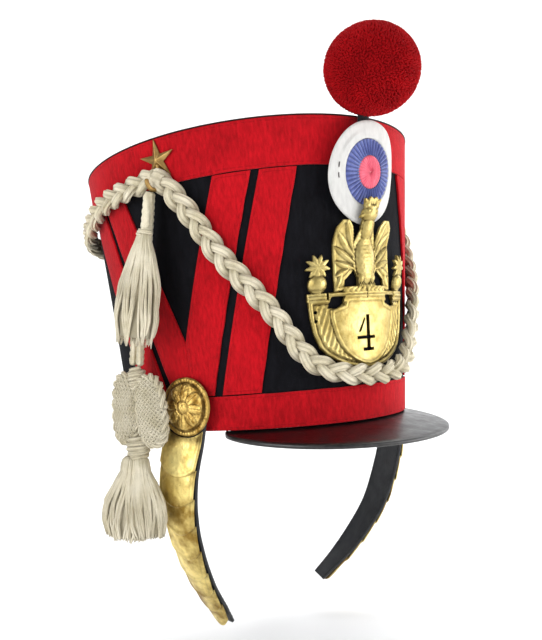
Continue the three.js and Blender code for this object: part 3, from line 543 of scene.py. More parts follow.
def plait_route(half, middle, lag):
    """The plait's centre line, the length along it and the hat's outward direction there."""
    lags = lag + [0] * (len(half) - len(lag))
    left = [(late - a, b, c) for (a, b, c), late in zip(half, lags)]
    angle, level, offset = np.array(half + [middle] + left[::-1]).T
    if middle[0] == 180:
        # Behind the hat the angles count on past -180
        angle = np.where(angle > 0, angle - 360, angle)
    route, at = resample(smooth_path(hat_point(angle, level, offset - PLAIT_CLOSER))[0], CORD_STEP)
    angles = np.degrees(np.arctan2(route[:, 0], -route[:, 1]))
    return route, at, hat_frame(angles, np.clip(route[:, 2] / HEIGHT, 0, 1))[3]


def add_plait(name, node, half, middle, lag):
    route, at, out = plait_route(half, middle, lag)
    outward, sideways = ride_frames(route, out)
    build = Build()
    wander = 1 + PLAIT_WANDER * np.sin(at / PLAIT_WANDER_RUN)
    for k in range(3):
        phase = TURN * (at / PLAIT_PITCH + k / 3)
        swing, lift = PLAIT_SWING * np.sin(phase) * wander, np.sin(2 * phase)
        strand = route + swing[:, None] * sideways + (PLAIT_CROSS * lift)[:, None] * outward
        # Strands are shaded where they dive under the others
        shade = np.clip(0.42 - 0.5 * lift, 0, 1)[:, None] * 0.8
        add_strand(build, strand, PLAIT_STRAND, PLAIT_SIDES, lobes=6, lobe_depth=0.1, twist=400.0,
                   depth=shade, out=out, flat=0.86)
    for end in (slice(0, BINDING_STEPS), slice(-BINDING_STEPS, None)):
        rings = tube_rings(route[end], BINDING_RADIUS, 24, out=out[end], flat=0.85)
        build.rings(rings, lengths(route[end]), 0.1)
    made = build.piece(name, CREAM_CORD, (node,))
    path = resample(route, CORD_PATH_STEP)[0] * MM


add_plait("plait_front_cord", "plait_front", FRONT_PLAIT_HALF, FRONT_PLAIT_MIDDLE, FRONT_PLAIT_LAG)
add_plait("plait_back_cord", "plait_back", BACK_PLAIT_HALF, BACK_PLAIT_MIDDLE, BACK_PLAIT_LAG)


# Tassels: a row is the share of the length from the top and the radius

UPPER_ROWS = [
    (0, 2.6), (0.24, 2.6), (0.28, 4.4), (0.34, 5.8), (0.42, 8.5), (0.62, 13.6), (0.85, 15.3), (1, 13),
]
LOWER_ROWS = [
    (0, 4.2), (0.05, 6.6), (0.14, 7.6), (0.2, 7.4), (0.36, 12), (0.58, 16.6), (0.8, 17.4), (1, 14.5),
]
UPPER_TOP, UPPER_BOTTOM = (-109.4, -47.5, 141.9), (-116, -31.2, 57)
LOWER = [
    # top, bottom, share of the rows' width
    ((-109, -7.5, -12.3), (-113, 1.5, -62), 1.0),
    ((-107.2, -13.5, -12.3), (-108, -18.6, -61), 0.76),
]
# Each layer of yarns is a share of the radius and a count
UPPER_LAYERS = [(1.0, 56), (0.82, 42), (0.55, 28), (0.25, 12)]
LOWER_LAYERS = [(1.0, 56), (0.82, 42), (0.55, 26), (0.25, 10)]
UPPER_NECK, UPPER_WRAP = 0.3, (0.245, 0.285)
TASSEL_FLAT = 0.68
YARN_STEPS = 22


class Tassel:
    """A tassel's form from its top to its bottom, and the yarn that fills it."""

    def __init__(self, top, bottom, rows, width=1.0):
        self.top = np.array(top, float)
        drop = self.top - np.array(bottom, float)
        self.length, self.up = np.linalg.norm(drop), unit(drop)
        self.along = unit(np.cross(self.up, SIDE_OUT))
        self.out = np.cross(self.along, self.up)
        self.shares, radii = np.array(rows, float).T
        self.radii = radii * width

    def axis(self, share):
        return self.top - (share * self.length)[..., None] * self.up

    def surface(self, share, turn, inset=0.0, scale=1.0):
        radius = (np.interp(share, self.shares, self.radii) - inset) * scale
        x, z = radius * np.sin(turn), radius * np.cos(turn) * TASSEL_FLAT
        return self.axis(share) + x[..., None] * self.along + z[..., None] * self.out

    # Painted shade: a smaller body inside the yarns, darkened by its depth toward the yarn's shade colour,
    # stands in for the shade among them.
    def add_core(self, build, start, stop, scale, depth):
        share = np.linspace(start, stop, 14)
        turn = np.linspace(0, TURN, 24, endpoint=False)
        build.rings(self.surface(share[:, None], turn[None, :], scale=scale), share * self.length, depth)

    def add_yarn(self, build, skirt, layers, strand, locks, clump, ragged, wave):
        """Layers of yarns that leave the head where the skirt starts and gather into locks at their ends."""
        for layer, (scale, count) in enumerate(layers):
            for i in range(count):
                start = TURN * (i + 0.5 * layer + rng.uniform(-0.3, 0.3)) / count
                lock = np.round(start / TURN * locks) / locks * TURN
                end = 1 + rng.uniform(-ragged, ragged * 0.5)
                share = np.linspace(skirt, end, YARN_STEPS)
                run = (share - skirt) / (1 - skirt)
                gather = clump * np.clip(run, 0, 1) ** 3
                turn = start + (lock - start) * gather
                turn = turn + wave * run * np.sin(run * rng.uniform(5, 8) + rng.uniform(0, TURN)) / 6
                sway = 1 + 0.045 * np.sin(run * rng.uniform(6, 11) + rng.uniform(0, TURN))
                inside = np.minimum(share, 1)
                axis = self.axis(inside)
                spread = self.surface(inside, turn, strand, scale) - axis
                spread = spread * (sway * (1 - 0.12 * gather))[:, None]
                path = axis + spread - np.maximum(share - 1, 0)[:, None] * self.length * self.up
                thick = strand * (1 - 0.3 * np.clip(run - 0.8, 0, 1) / 0.2) * rng.uniform(0.85, 1.12)
                shade = min(0.1 + 0.5 * layer / len(layers) + rng.uniform(0, 0.2), 1.0)
                add_strand(build, path, thick, lobes=2, lobe_depth=0.05, twist=16.0, depth=shade, flat=0.9)


def add_upper_tassel():
    build = Build()
    tassel = Tassel(UPPER_TOP, UPPER_BOTTOM, UPPER_ROWS)
    add_strand(build, tassel.axis(np.linspace(0, UPPER_NECK, 18)), 2.5, 12, twist=12.0)
    tassel.add_core(build, 0.25, 0.97, 0.78, 0.75)
    tassel.add_yarn(build, 0.27, UPPER_LAYERS, 0.85, locks=7, clump=0.8, ragged=0.08, wave=0.6)
    wound = tassel.surface(np.linspace(*UPPER_WRAP, 60), np.linspace(0, 3 * TURN, 60), -0.3)
    add_strand(build, wound, 0.75, 7, lobes=2, lobe_depth=0.12, twist=6.0, depth=0.1)
    build.piece("tassel_upper_yarn", CREAM_WOOL, ("tassel_upper",))


def add_lower_tassels():
    build = Build()
    for top, bottom, width in LOWER:
        tassel = Tassel(top, bottom, LOWER_ROWS, width)
        tassel.add_core(build, 0.0, 0.95, 0.8, 0.7)
        tassel.add_yarn(build, 0.02, LOWER_LAYERS, 1.0, locks=10, clump=0.4, ragged=0.035, wave=0.8)
    return build.piece("tassels_lower_yarn", CREAM_WOOL, ("tassels_lower",))


# Raquettes: flat pads of woven cord with a bound edge, between two knots

PAD_FACING = np.radians(-72)
PADS = [
    # x, y, z, half width, half height, half depth, swing, slant of the weave
    (-108.6, -3.6, 16.2, 11.6, 23.0, 4.8, 4.0, 24.0),
    (-103.8, -24.0, 14.6, 12.0, 22.6, 4.8, -4.0, 45.0),
]
PAD_CORD, PAD_SPACING, PAD_CROSSING, PAD_SHORTEST = 0.9, 1.95, 0.3, 2.5
PAD_RIM, RIM_CORD, RIM_APART, RIM_DEEP, RIM_TWISTS = 2.1, 1.35, 1.05, 1.495, 9
KNOTS = [
    # x, y, z, half width, half height, half depth
    (-105.2, -12.6, 34.0, 6.4, 8.0, 4.6),
    (-106.9, -10.6, -7.6, 8.4, 8.6, 5.4),
]
KNOT_CORD, KNOT_SPACING = 1.5, 2.05


def pad_place(x, y, z, swing):
    """Takes width, depth and height in a pad's own frame to the hat's."""
    c, s = np.cos(np.radians(swing)), np.sin(np.radians(swing))
    a, b = np.cos(PAD_FACING), np.sin(PAD_FACING)

    def place(w, d, h):
        across, high = w * c + h * s, -w * s + h * c
        return np.stack([x + across * a - d * b, y + across * b + d * a, z + high], -1)

    return place


def add_pad(build, x, y, z, half_w, half_h, half_d, swing, slant):
    oval = pad_place(x, y, z, swing)
    in_w, in_h = half_w - PAD_RIM, half_h - PAD_RIM

    def place(w, d, h):
        """The pad is squarer than an oval."""
        reach = np.clip(np.abs(h) / half_h, 0, 0.95)
        return oval(w * (1 - reach ** 3) ** (1 / 3) / np.sqrt(1 - reach ** 2), d, h)

    turn = np.linspace(0, TURN, 110)
    for twist in (turn * RIM_TWISTS, turn * RIM_TWISTS + np.pi):
        apart = RIM_APART * np.cos(twist)
        loop = place((in_w + apart) * np.cos(turn), RIM_DEEP * np.sin(twist), (in_h + apart) * np.sin(turn))
        add_strand(build, loop, RIM_CORD, twist=9.0, depth=0.08)
    nx, across_z = np.cos(np.radians(slant)), np.sin(np.radians(slant))
    for side in (-1, 1):
        for layer, nz in enumerate((across_z, -across_z)):
            reach = np.hypot(in_w * nx, in_h * nz)
            for k, row in enumerate(np.arange(-reach + PAD_SPACING / 2, reach, PAD_SPACING)):
                # This row's chord of the oval, which runs square to (nx, nz)
                half_chord = in_w * in_h / reach * np.sqrt(max(0.0, 1 - (row / reach) ** 2))
                if half_chord < PAD_SHORTEST:
                    continue
                run = np.linspace(-half_chord, half_chord, 60)
                w = in_w ** 2 * nx * row / reach ** 2 - nz * run
                h = in_h ** 2 * nz * row / reach ** 2 + nx * run
                inside = np.clip(1 - (w / in_w) ** 2 - (h / in_h) ** 2, 0, 1)
                over = np.cos(np.pi * ((h * nx - w * nz) / PAD_SPACING + k + layer))
                d = side * ((half_d - PAD_CORD - 0.6) * inside ** 0.4 + PAD_CROSSING * over)
                path, _ = resample(place(w, d, h), CORD_STEP)
                add_strand(build, path, PAD_CORD, 7, lobes=2, lobe_depth=0.12, twist=7.0,
                           depth=0.0 if layer else 0.06)
    # Painted shade: a core inside the weave at full depth, so it takes the cord's shade colour where the
    # gaps between the cords show it.
    w, d, h = unit_ball(12, 24)
    build.rings(place(0.92 * in_w * w, 0.45 * half_d * d, 0.92 * in_h * h), np.linspace(0, 40, 12), 1.0)


def add_knot(build, x, y, z, half_w, half_h, half_d):
    place = pad_place(x, y, z, 0.0)
    turns = 2 * half_h / (KNOT_CORD * KNOT_SPACING)
    t = np.linspace(0.04, 0.96, int(turns * 18))
    height = (2 * t - 1) * half_h * 0.88
    swell = np.sqrt(np.clip(1 - (height / half_h) ** 2, 0.18, 1))
    width, deep = (half_w - KNOT_CORD) * swell, (half_d - KNOT_CORD * 0.6) * swell
    turn = t * turns * TURN
    wound = place(width * np.cos(turn), deep * np.sin(turn), height)
    add_strand(build, wound, KNOT_CORD, twist=7.0, depth=0.1)
    # Painted shade: a core under the wound cord, darkened by its depth toward the cord's shade colour.
    w, d, h = unit_ball(8, 20, 0.05)
    core = place((half_w - KNOT_CORD) * w, (half_d - KNOT_CORD) * d, half_h * 0.95 * h)
    build.rings(core, np.linspace(0, 12, 8), 0.8)


def add_raquettes():
    build = Build()
    for pad in PADS:
        add_pad(build, *pad)
    for knot in KNOTS:
        add_knot(build, *knot)
    return build.piece("raquettes_cord", CREAM_CORD, ("raquettes",))


def add_drop_cord(with_pieces):
    route, at = resample(smooth_path(DROP_CORD)[0], CORD_STEP)
    outward, sideways = ride_frames(route, np.broadcast_to(SIDE_OUT, route.shape))
    build = Build()
    swell = 1 + DROP_SWELL * (at / at[-1]) ** 2
    for side in (-1, 1):
        apart = side * DROP_APART * swell + 0.15 * np.sin(at / 9.0)
        lift = 0.25 * np.sin(at / 14.0 + side)
        strand = route + apart[:, None] * sideways + lift[:, None] * outward
        add_strand(build, strand, DROP_STRAND * swell, 12, twist=11.0)
    made = build.piece("drop_cord_twist", CREAM_CORD, ("drop_cord",))
    path = resample(route, CORD_PATH_STEP)[0] * MM


add_upper_tassel()
add_drop_cord([add_raquettes(), add_lower_tassels()])


# Felt body, bands and top panel

FELT_UNEVEN, CLOTH_UNEVEN, EDGE_UNEVEN = 0.22, 0.12, 0.0011
EDGE_WAVES = ((17, 1), (29, 1), (43, 1))
FELT_SEED, CLOTH_SEED, EDGE_SEED, PANEL_SEED = 7, 11, 13, 19
PANEL_RADIUS, PANEL_SUNK, PANEL_DISH, PANEL_UNDER = 100, -2.5, 0.35, -4.5
PANEL_DENT, PANEL_DENT_RADIUS = 0.5, 88
PANEL_BORDER = [
    # out from the felt's face, and mm over the top edge
    (-7, -2.5), (-6.4, -2.2), (-5.8, -0.6), (-5.2, 0.7), (-4.4, 1.0), (-2, 1.08), (0.6, 1.02), (1.5, 0.85),
    (1.9, 0.62), (1.9, 0.45), (1.6, 0.35), (-3.6, 0.35), (-3.6, -4.5),
]


def add_crown():
    def on_hat(angles, out, level):
        return hat_point(angles, level, out + FELT_UNEVEN * ripple(angles, level, FELT_SEED))

    build = Build()
    turned(build, rounded_wall(-WALL, 0.0, 0.0, 1.0, 0.6), on_hat)
    build.piece("crown_felt", FELT, ("crown_shell",))


def cloth_uneven(angles, level, out):
    return CLOTH_UNEVEN * ripple(angles, level, CLOTH_SEED) * (out > 1)


def add_band(name, node, low, high):
    """A cloth band whose across value is the distance from its nearer edge."""
    profile = rounded_wall(CLEARANCE, CLOTH_OUTER, low, high, 0.4, 24)
    inner_edge = high if low == 0 else low

    def on_hat(angles, out, level):
        edge = EDGE_UNEVEN * ripple(angles, level * 0, EDGE_SEED, EDGE_WAVES)
        near = np.exp(-np.abs(level - inner_edge) * 60)
        return hat_point(angles, level + edge * near, out + cloth_uneven(angles, level, out))

    level = np.array([v for _, v in profile + profile[:1]])[:, None]
    build = Build()
    turned(build, profile, on_hat, np.minimum(level - low, high - level) * HEIGHT)
    build.piece(name, RED_CLOTH, (node,))


def add_top_panel():
    """A sunk, slightly dished top, whose border laps over the felt's edge."""
    top = [(r - PANEL_RADIUS, PANEL_SUNK - PANEL_DISH * np.cos(np.pi * r / 186))
           for r in np.linspace(0.5, 90, 26)]
    under = [(r - PANEL_RADIUS, PANEL_UNDER) for r in np.linspace(94, 0.5, 12)]
    out, height = np.array(top + PANEL_BORDER + under).T[:, :, None]
    radius = PANEL_RADIUS + out
    share = np.minimum(1.0, radius / (PANEL_RADIUS - WALL))
    offset = np.where(share < 1, -WALL * share, np.maximum(out, -WALL))
    dished = np.sin(np.pi * np.clip(radius / PANEL_DENT_RADIUS, 0, 1))
    dent = PANEL_DENT * ripple(AROUND[None, :], radius / 60, PANEL_SEED) * dished
    points = hat_point(AROUND[None, :], 1 + (height + dent) / HEIGHT, offset, share)
    build = Build()
    build.rings(points, depth=np.exp(-np.abs(out - 1.0) / 1.6) * (height > 0), cap_depth=0)
    build.piece("top_leather_panel", TOP_LEATHER, ("top_panel",))


# Chevrons: cloth strips laid on the felt. Places are degrees from the chevron's centre, low and high.

CHEVRON_CENTRE = 68.0
CHEVRON_LOW, CHEVRON_HIGH, CHEVRON_APEX = 0.12, 0.838, 0.305
ARM_INNER_HIGH = 17.6
ARM_OUTER = (8.2, 29.7)
STRIP_INNER = (11.3, 32.4)
STRIP_OUTER = (25.2, 44.4)
MM_PER_DEGREE = 1.7
STRIP_SOFT = 0.42
# Share of the rounded edge, and how far out
STRIP_EDGE = [(0.0, CLEARANCE), (0.0, CLOTH_OUTER - 0.4), (0.3, CLOTH_OUTER - 0.1), (1.0, CLOTH_OUTER)]


def cloth_strip(build, near, far, level, seed):
    """A strip between two edges, given as angles at each level, as rings with rounded corners."""
    width = np.abs(far - near) * MM_PER_DEGREE
    soft = STRIP_SOFT / np.maximum(width, 1.0)
    # The left arms keep full edges where they meet
    near_soft = np.where(near == CHEVRON_CENTRE, 0.0, soft)
    middle = np.linspace(0, 1, 9)[1:-1]
    shares = [share * near_soft for share, _ in STRIP_EDGE]
    shares += [np.full_like(level, share) for share in middle]
    shares += [1 - share * soft for share, _ in STRIP_EDGE[::-1]]
    edge_out = [out for _, out in STRIP_EDGE]
    out = np.array(edge_out + [CLOTH_OUTER] * len(middle) + edge_out[::-1])[None, :]
    share = np.stack(shares, 1)
    wobble = 0.12 / MM_PER_DEGREE * np.sin(np.linspace(0, 40, len(level)) + seed)
    angle = near[:, None] + (far - near)[:, None] * share + wobble[:, None] * (share > 0.5)
    points = hat_point(angle, level[:, None], out + cloth_uneven(angle, level[:, None], out))
    from_ends = np.minimum(level - level[0], level[-1] - level)[:, None] * HEIGHT
    across = np.minimum(np.minimum(share, 1 - share) * width[:, None], from_ends)
    across = np.hstack([across, across[:, :1]])
    build.rings(points, (level - level[0]) * HEIGHT, across=across, cap_depth=0)


def add_chevrons(side, name):
    level = np.linspace(CHEVRON_LOW, CHEVRON_HIGH, 64)
    rise = (level - CHEVRON_LOW) / (CHEVRON_HIGH - CHEVRON_LOW)
    opening = np.clip((level - CHEVRON_APEX) / (CHEVRON_HIGH - CHEVRON_APEX), 0, 1)

    def edge(turn, low, high, share=rise):
        return side * (CHEVRON_CENTRE - turn * (low + (high - low) * share))

    arms = Build()
    for turn in (1, -1):
        cloth_strip(arms, edge(turn, 0, ARM_INNER_HIGH, opening), edge(turn, *ARM_OUTER), level, turn)
    arms.piece(f"chevron_inner_{name}_cloth", RED_CLOTH, (f"chevron_inner_{name}",), sharp=60)
    for turn, word in ((1, "front"), (-1, "back")):
        strip = Build()
        cloth_strip(strip, edge(turn, *STRIP_INNER), edge(turn, *STRIP_OUTER), level, 2 * turn)
        node = f"chevron_{word}_{name}"
        strip.piece(f"{node}_cloth", RED_CLOTH, (node,), sharp=60)


# Peak

PEAK_HALF_ANGLE, PEAK_REACH, PEAK_FULLNESS = 58.0, 38.0, 0.75
PEAK_FALL, PEAK_LIP, PEAK_INSET, PEAK_THICK = 0.2217, 1.05, 2.2, 2.6
PEAK_STEPS, PEAK_ROWS = 121, 22


def add_peak():
    """Rings across the peak: over its top from the seam to the edge, round the edge and back underneath."""
    angle = np.linspace(-1, 1, PEAK_STEPS)[:, None] * PEAK_HALF_ANGLE
    half = PEAK_THICK / 2
    run = np.linspace(0, 1, PEAK_ROWS)
    round_edge = half * (1 - np.cos(np.linspace(0, np.pi, 9)[1:-1]))
    v = np.concatenate([run, np.ones(len(round_edge)), run[::-1]])[None, :]
    depth = np.concatenate([0 * run, round_edge, 0 * run + PEAK_THICK])[None, :]
    share = np.clip(np.cos(np.pi / 2 * angle / PEAK_HALF_ANGLE), 0, None) ** PEAK_FULLNESS
    reach = PEAK_REACH * share
    bulge = np.sqrt(np.clip(1 - ((depth - half) / half) ** 2, 0, 1))
    round_in = np.where(v == 1, 0.9 * (1 - bulge), 0.0)
    stitched = hat_point(angle, 0, -PEAK_INSET)
    edge = hat_point(angle, 0, np.maximum(reach - round_in, 0.0))
    points = stitched + (edge - stitched) * v[..., None]
    from_edge = (1 - v) * (reach + PEAK_INSET)
    welt = 0.2 * np.exp(-(from_edge - 2.6) ** 2 / 0.8)
    groove = 0.25 * np.exp(-(from_edge - 4.4) ** 2 / 0.3)
    relief = (welt - groove) * (depth == 0) * (v < 1)
    points[..., 2] = -CLEARANCE - v * (PEAK_LIP + PEAK_FALL * reach) - depth + relief
    build = Build()
    build.rings(points, depth=np.clip(1 - (1 - v) * reach / 1.6, 0, 1), cap_depth=0)
    build.piece("peak_leather_piece", PEAK_LEATHER, ("peak",))


add_crown()
add_band("top_band_cloth", "top_band", 0.842, 1.0)
add_band("bottom_band_cloth", "bottom_band", 0.0, 0.116)
add_top_panel()
for hat_side, side_name in SIDES:
    add_chevrons(hat_side, side_name)
add_peak()


# Cockade: three rings turned about one axis

COCKADE_CENTRE = np.array([0.4, -114.3, 147.0])
COCKADE_LEAN, COCKADE_TURN = np.radians(10), np.radians(4.5)
OUTER_RADIUS, MIDDLE_RADIUS, CENTRE_RADIUS = 30.7, 19.8, 10.0
COCKADE_HOLLOW, COCKADE_BEND, COCKADE_BEND_FROM = 0.0018, 0.0155, 14
COCKADE_THICK, OUTER_RISE, MIDDLE_RISE, CENTRE_RISE = 1.3, 1.7, 1.2, 1.0
# Where the white ring's edge is worn in, how deep and how wide
WORN_TURN, WORN_DEEP, WORN_WIDE = 2.36, 1.9, 0.55
STITCH_TURNS, STITCH_RADIUS, STITCH_HALF, STITCH_LIFT = (-1.672, -1.429), 24.8, 1.6, 0.45


def cockade_place(radius, turn, rise):
    lean, across = (np.cos(COCKADE_LEAN), np.sin(COCKADE_LEAN)), (np.cos(COCKADE_TURN), np.sin(COCKADE_TURN))
    right = np.array([across[0], across[1], 0])
    forward = np.array([lean[0] * across[1], -lean[0] * across[0], -lean[1]])
    down = np.cross(right, forward)
    x, z = radius * np.sin(turn), radius * np.cos(turn)
    back = COCKADE_HOLLOW * x ** 2 + COCKADE_BEND * np.maximum(0, x - COCKADE_BEND_FROM) ** 2
    return COCKADE_CENTRE + x[..., None] * right + (rise - back)[..., None] * forward + z[..., None] * down


def add_cockade_ring(name, node, rows, steps, material, pleats=0, pleat_rise=0.0, deep=0.0):
    """Rows are radius, rise and how far the pleats show, round a closed section."""
    radius, rise, shown = np.array(rows, float).T[:, :, None]
    turn = np.linspace(0, TURN, steps, endpoint=False)[None, :]
    fold = (np.abs((turn * pleats / TURN + 0.25) % 1 - 0.5) * 4 - 1) if pleats else 0 * turn
    from_worn = (turn + TURN / 2) % TURN - TURN / 2 + WORN_TURN
    worn_in = 0.35 * np.sin(turn * 5 + 1) - WORN_DEEP * np.exp(-(from_worn / WORN_WIDE) ** 2)
    # Painted shade: the valleys of the pleats get depth, scaled by deep and by how far the pleats show, and
    # the felt shader darkens them by it.
    depth = np.clip(0.5 - 0.5 * fold, 0, 1) * shown * deep
    points = cockade_place(radius + worn_in * (radius > 25), turn, rise + pleat_rise * shown * fold)
    build = Build()
    build.grid(points, depth=depth, wrap=(True, True), flip=True)
    build.piece(name, material, (node,))


def add_cockade():
    radii = np.linspace(MIDDLE_RADIUS, OUTER_RADIUS, 8)
    inward = (OUTER_RADIUS - radii) / (OUTER_RADIUS - MIDDLE_RADIUS)
    back = [(r, OUTER_RISE * share, 0) for r, share in zip(radii, inward)]
    edge = [(OUTER_RADIUS + 0.2, 0.35, 0), (OUTER_RADIUS + 0.3, 0.65, 0), (OUTER_RADIUS + 0.1, 1.0, 0)]
    face = [(r, COCKADE_THICK + rise + 0.25 * np.sin(np.pi * share), 0)
            for (r, rise, _), share in zip(back, inward)]
    add_cockade_ring("cockade_white", "cockade_outer", back + edge + face[::-1], 120, WHITE_FELT)
    radii = np.linspace(CENTRE_RADIUS, MIDDLE_RADIUS - CLEARANCE, 9)
    inward = (MIDDLE_RADIUS - radii) / (MIDDLE_RADIUS - CENTRE_RADIUS)
    shown = np.sin(np.pi / 2 * np.minimum(1, (MIDDLE_RADIUS - radii) / 3 + 0.35))
    back = [(r, OUTER_RISE + MIDDLE_RISE * share, 0) for r, share in zip(radii, inward)]
    face = [(r, COCKADE_THICK + rise, pleat) for (r, rise, _), pleat in zip(back, shown)]
    add_cockade_ring("cockade_blue", "cockade_middle", back + face[::-1], 480, BLUE_FELT,
                     pleats=40, pleat_rise=0.5, deep=0.9)
    rim = CENTRE_RADIUS - CLEARANCE
    radii = np.linspace(0.3, rim, 10)
    foot = OUTER_RISE + MIDDLE_RISE
    back = [(r, foot, 0) for r in radii] + [(rim + 0.15, foot + 0.6, 0)]
    face = [(r, foot + COCKADE_THICK + CENTRE_RISE * (1 - (r / rim) ** 2), 0.5) for r in radii[::-1]]
    add_cockade_ring("cockade_rose", "cockade_centre", back + face, 240, ROSE_FELT,
                     pleats=30, pleat_rise=0.22, deep=0.7)
    stitches = Build()
    slope = OUTER_RISE * (OUTER_RADIUS - STITCH_RADIUS) / (OUTER_RADIUS - MIDDLE_RADIUS)
    rise = COCKADE_THICK + slope + STITCH_LIFT
    for turn in STITCH_TURNS:
        along = turn + np.linspace(-STITCH_HALF, STITCH_HALF, 6) / STITCH_RADIUS
        add_strand(stitches, cockade_place(STITCH_RADIUS, along, rise), 0.34, 6, twist=2.0)
    stitches.piece("cockade_stitches", THREAD)


add_cockade()


# Pompom and its stem

POMPOM_CENTRE = np.array([0.0, -127.0, 205.4])
POMPOM_RADIUS, POMPOM_SQUASH, POMPOM_CORE_IN = 28.8, 0.95, 1.6
TUFTS, TUFT_SIDES, TUFT_LENGTH = 8600, 4, 3.6
# How far under the surface each ring of a tuft is, its radius, its depth, which paints shade deep between
# the tufts, and its place along
TUFT_RINGS = np.array([(3.6, 0.5, 0.5, 0.0), (0.9, 0.7, 0.1, 2.7), (0.05, 0.4, 0.0, 3.6)])
REST_HEIGHT, REST_FRONT = 181.0, -118.0
STEM_FOOT, STEM_HEAD = np.array([0, -113.8, 160.0]), np.array([0, -118.6, 190.0])
STEM_HALF_WIDTH, STEM_HALF_DEPTH = 4.5, 1.6


def on_pompom(points):
    """Places a squashed ball, which rests flat on the hat's rim at its back."""
    points = points * (1, 1, POMPOM_SQUASH) + POMPOM_CENTRE
    resting = points[..., 1] > REST_FRONT
    points[..., 2] = np.where(resting, np.maximum(points[..., 2], REST_HEIGHT), points[..., 2])
    return points


def add_pompom():
    """Cut wool: a core and many short tufts that stand out of it."""
    i = np.arange(TUFTS)
    high = 1 - 2 * (i + 0.5) / TUFTS
    wide = np.sqrt(1 - high ** 2)
    spin = i * np.pi * (3 - np.sqrt(5))
    direction = np.stack([wide * np.cos(spin), wide * np.sin(spin), high], 1)
    direction = unit(direction + rng.normal(0, 0.012, direction.shape))
    side_a = unit(np.cross(direction, (0.31, 0.52, 0.8)))
    side_b = np.cross(direction, side_a)
    lean = rng.normal(0, 0.3, (TUFTS, 2))
    leaning = lean[:, :1] * side_a + lean[:, 1:] * side_b
    reach = POMPOM_RADIUS - np.abs(rng.normal(0, 0.4, TUFTS))
    turn = np.linspace(0, TURN, TUFT_SIDES, endpoint=False)[None, :, None]
    around = np.cos(turn) * side_a[:, None] + np.sin(turn) * side_b[:, None]
    rings = []
    for low, radius in TUFT_RINGS[:, :2]:
        centre = direction * (reach - low)[:, None] + leaning * (TUFT_LENGTH - low) / TUFT_LENGTH
        rings.append(centre[:, None] + radius * around)
    rings = on_pompom(np.stack(rings, 1))
    build = Build()
    for tuft in rings:
        depth = np.clip(TUFT_RINGS[:, 2:3] + rng.uniform(0, 0.14), 0, 1)
        build.rings(tuft, TUFT_RINGS[:, 3] + rng.uniform(0, 9), depth, caps=(False, True))
    # Painted shade: the core is darkened by its depth, standing in for the shade deep among the tufts.
    ball = (POMPOM_RADIUS - POMPOM_CORE_IN) * np.stack(unit_ball(30, 48), -1)
    build.rings(on_pompom(ball), np.linspace(0, 80, 30), 0.5)
    build.piece("pompom_wool", RED_WOOL, ("pompom",))


def add_stem():
    length = np.linalg.norm(STEM_HEAD - STEM_FOOT)
    up = unit(STEM_HEAD - STEM_FOOT)
    back = np.cross((1, 0, 0), up)
    turn = np.linspace(0, TURN, 28, endpoint=False)[:, None]
    section = STEM_HALF_WIDTH * np.cos(turn) * (1, 0, 0) + STEM_HALF_DEPTH * np.sin(turn) * back
    foot, head = [(0.0, 0.82), (0.5, 0.96), (1.2, 1.0)], [(length - 0.5, 0.96), (length, 0.85)]
    rows = foot + [(height, 1.0) for height in np.linspace(3, length - 2, 8)] + head
    build = Build()
    build.rings(np.stack([STEM_FOOT + height * up + scale * section for height, scale in rows]),
                [height for height, _ in rows])
    build.piece("pompom_stem_wool", STEM_WOOL, ("pompom_stem",))


add_pompom()
add_stem()


# Plate: relief worked as heights over the flat sheet, then bent onto the felt. Half outlines are mirrored.

PLATE_BACK, PLATE_SHEET, PLATE_CELL = 0.65, 1.0, 0.42
PLATE_X, PLATE_Y = (-42.6, 42.61), (29.4, 133.4)
PLATE_LEAN, PLATE_LEAN_FROM, PLATE_LEAN_TO = 10.5, 104.0, 133.0
PLATE_LEFT_SHARE, PLATE_WING_EDGE = 0.955, 24.0
HORN_LEAN, HORN_FROM, HORN_TO = 2.6, 77.0, 92.0
SHIELD = [
    (0, 30.6), (9, 31.4), (17.5, 33.6), (24, 36.8), (29.5, 40.4), (33.4, 44.6), (36.6, 52.3), (38.6, 62),
    (39.6, 73),
]
INNER_SHIELD = [
    (0, 33.2), (6, 34.2), (11.5, 37.2), (15.8, 40.7), (19.4, 45), (22.2, 50.5), (24, 56), (25.4, 62.5),
    (25.2, 66), (16.5, 68.6), (15, 72.5),
]
PARTS = {
    # outline, base, rise over the base, width of the shoulders
    "wing": ([(7, 79), (23, 77), (23.4, 90), (23, 108), (21.6, 114.5), (18.2, 118.5), (14, 118.5),
              (10.8, 114.5), (8.4, 104)], 0.7, 0.6, 1.2),
    "body": ([(0, 78), (7.5, 79), (9.4, 92), (9.2, 104), (5.4, 113), (4.6, 121), (0, 121)], 0.8, 0.6, 1.5),
    "beak": ([(-4, 119.8), (-7.4, 119.2), (-7.2, 121), (-4, 123.2)], 1.0, 1.6, 1.8),
    "crown": ([(0, 124.6), (5, 124.6), (6.2, 130.6), (3.8, 129.6), (2.1, 131.6), (0, 130.4)], 1.0, 1.4, 1.6),
    "block": ([(0, 75), (17, 75.6), (17, 80), (0, 81)], 1.0, 1.0, 1.2),
    "bar": ([(0, 72.4), (27, 72.4), (27, 76.8), (0, 76.8)], 1.2, 1.2, 0.9),
    "flame_neck": ([(31, 86), (36.4, 86), (36.4, 92), (31, 92)], 1.0, 0.9, 1.6),
    "horn_cap": ([(28, 71.6), (40, 71.6), (40, 76.6), (28, 76.6)], 1.1, 1.2, 0.9),
}
FEATHERS = [
    # root x and y, tip x and y, half width, rise
    (9, 101, 15.8, 117.4, 1.9, 1.3), (8.5, 97, 20.6, 111.5, 2.0, 1.1), (8.5, 93, 21.6, 103, 2.0, 1.3),
    (9, 90, 21.8, 94.5, 2.0, 1.1), (13, 90, 21.8, 86, 2.0, 1.3), (17.5, 88, 21.4, 79, 1.9, 1.1),
]
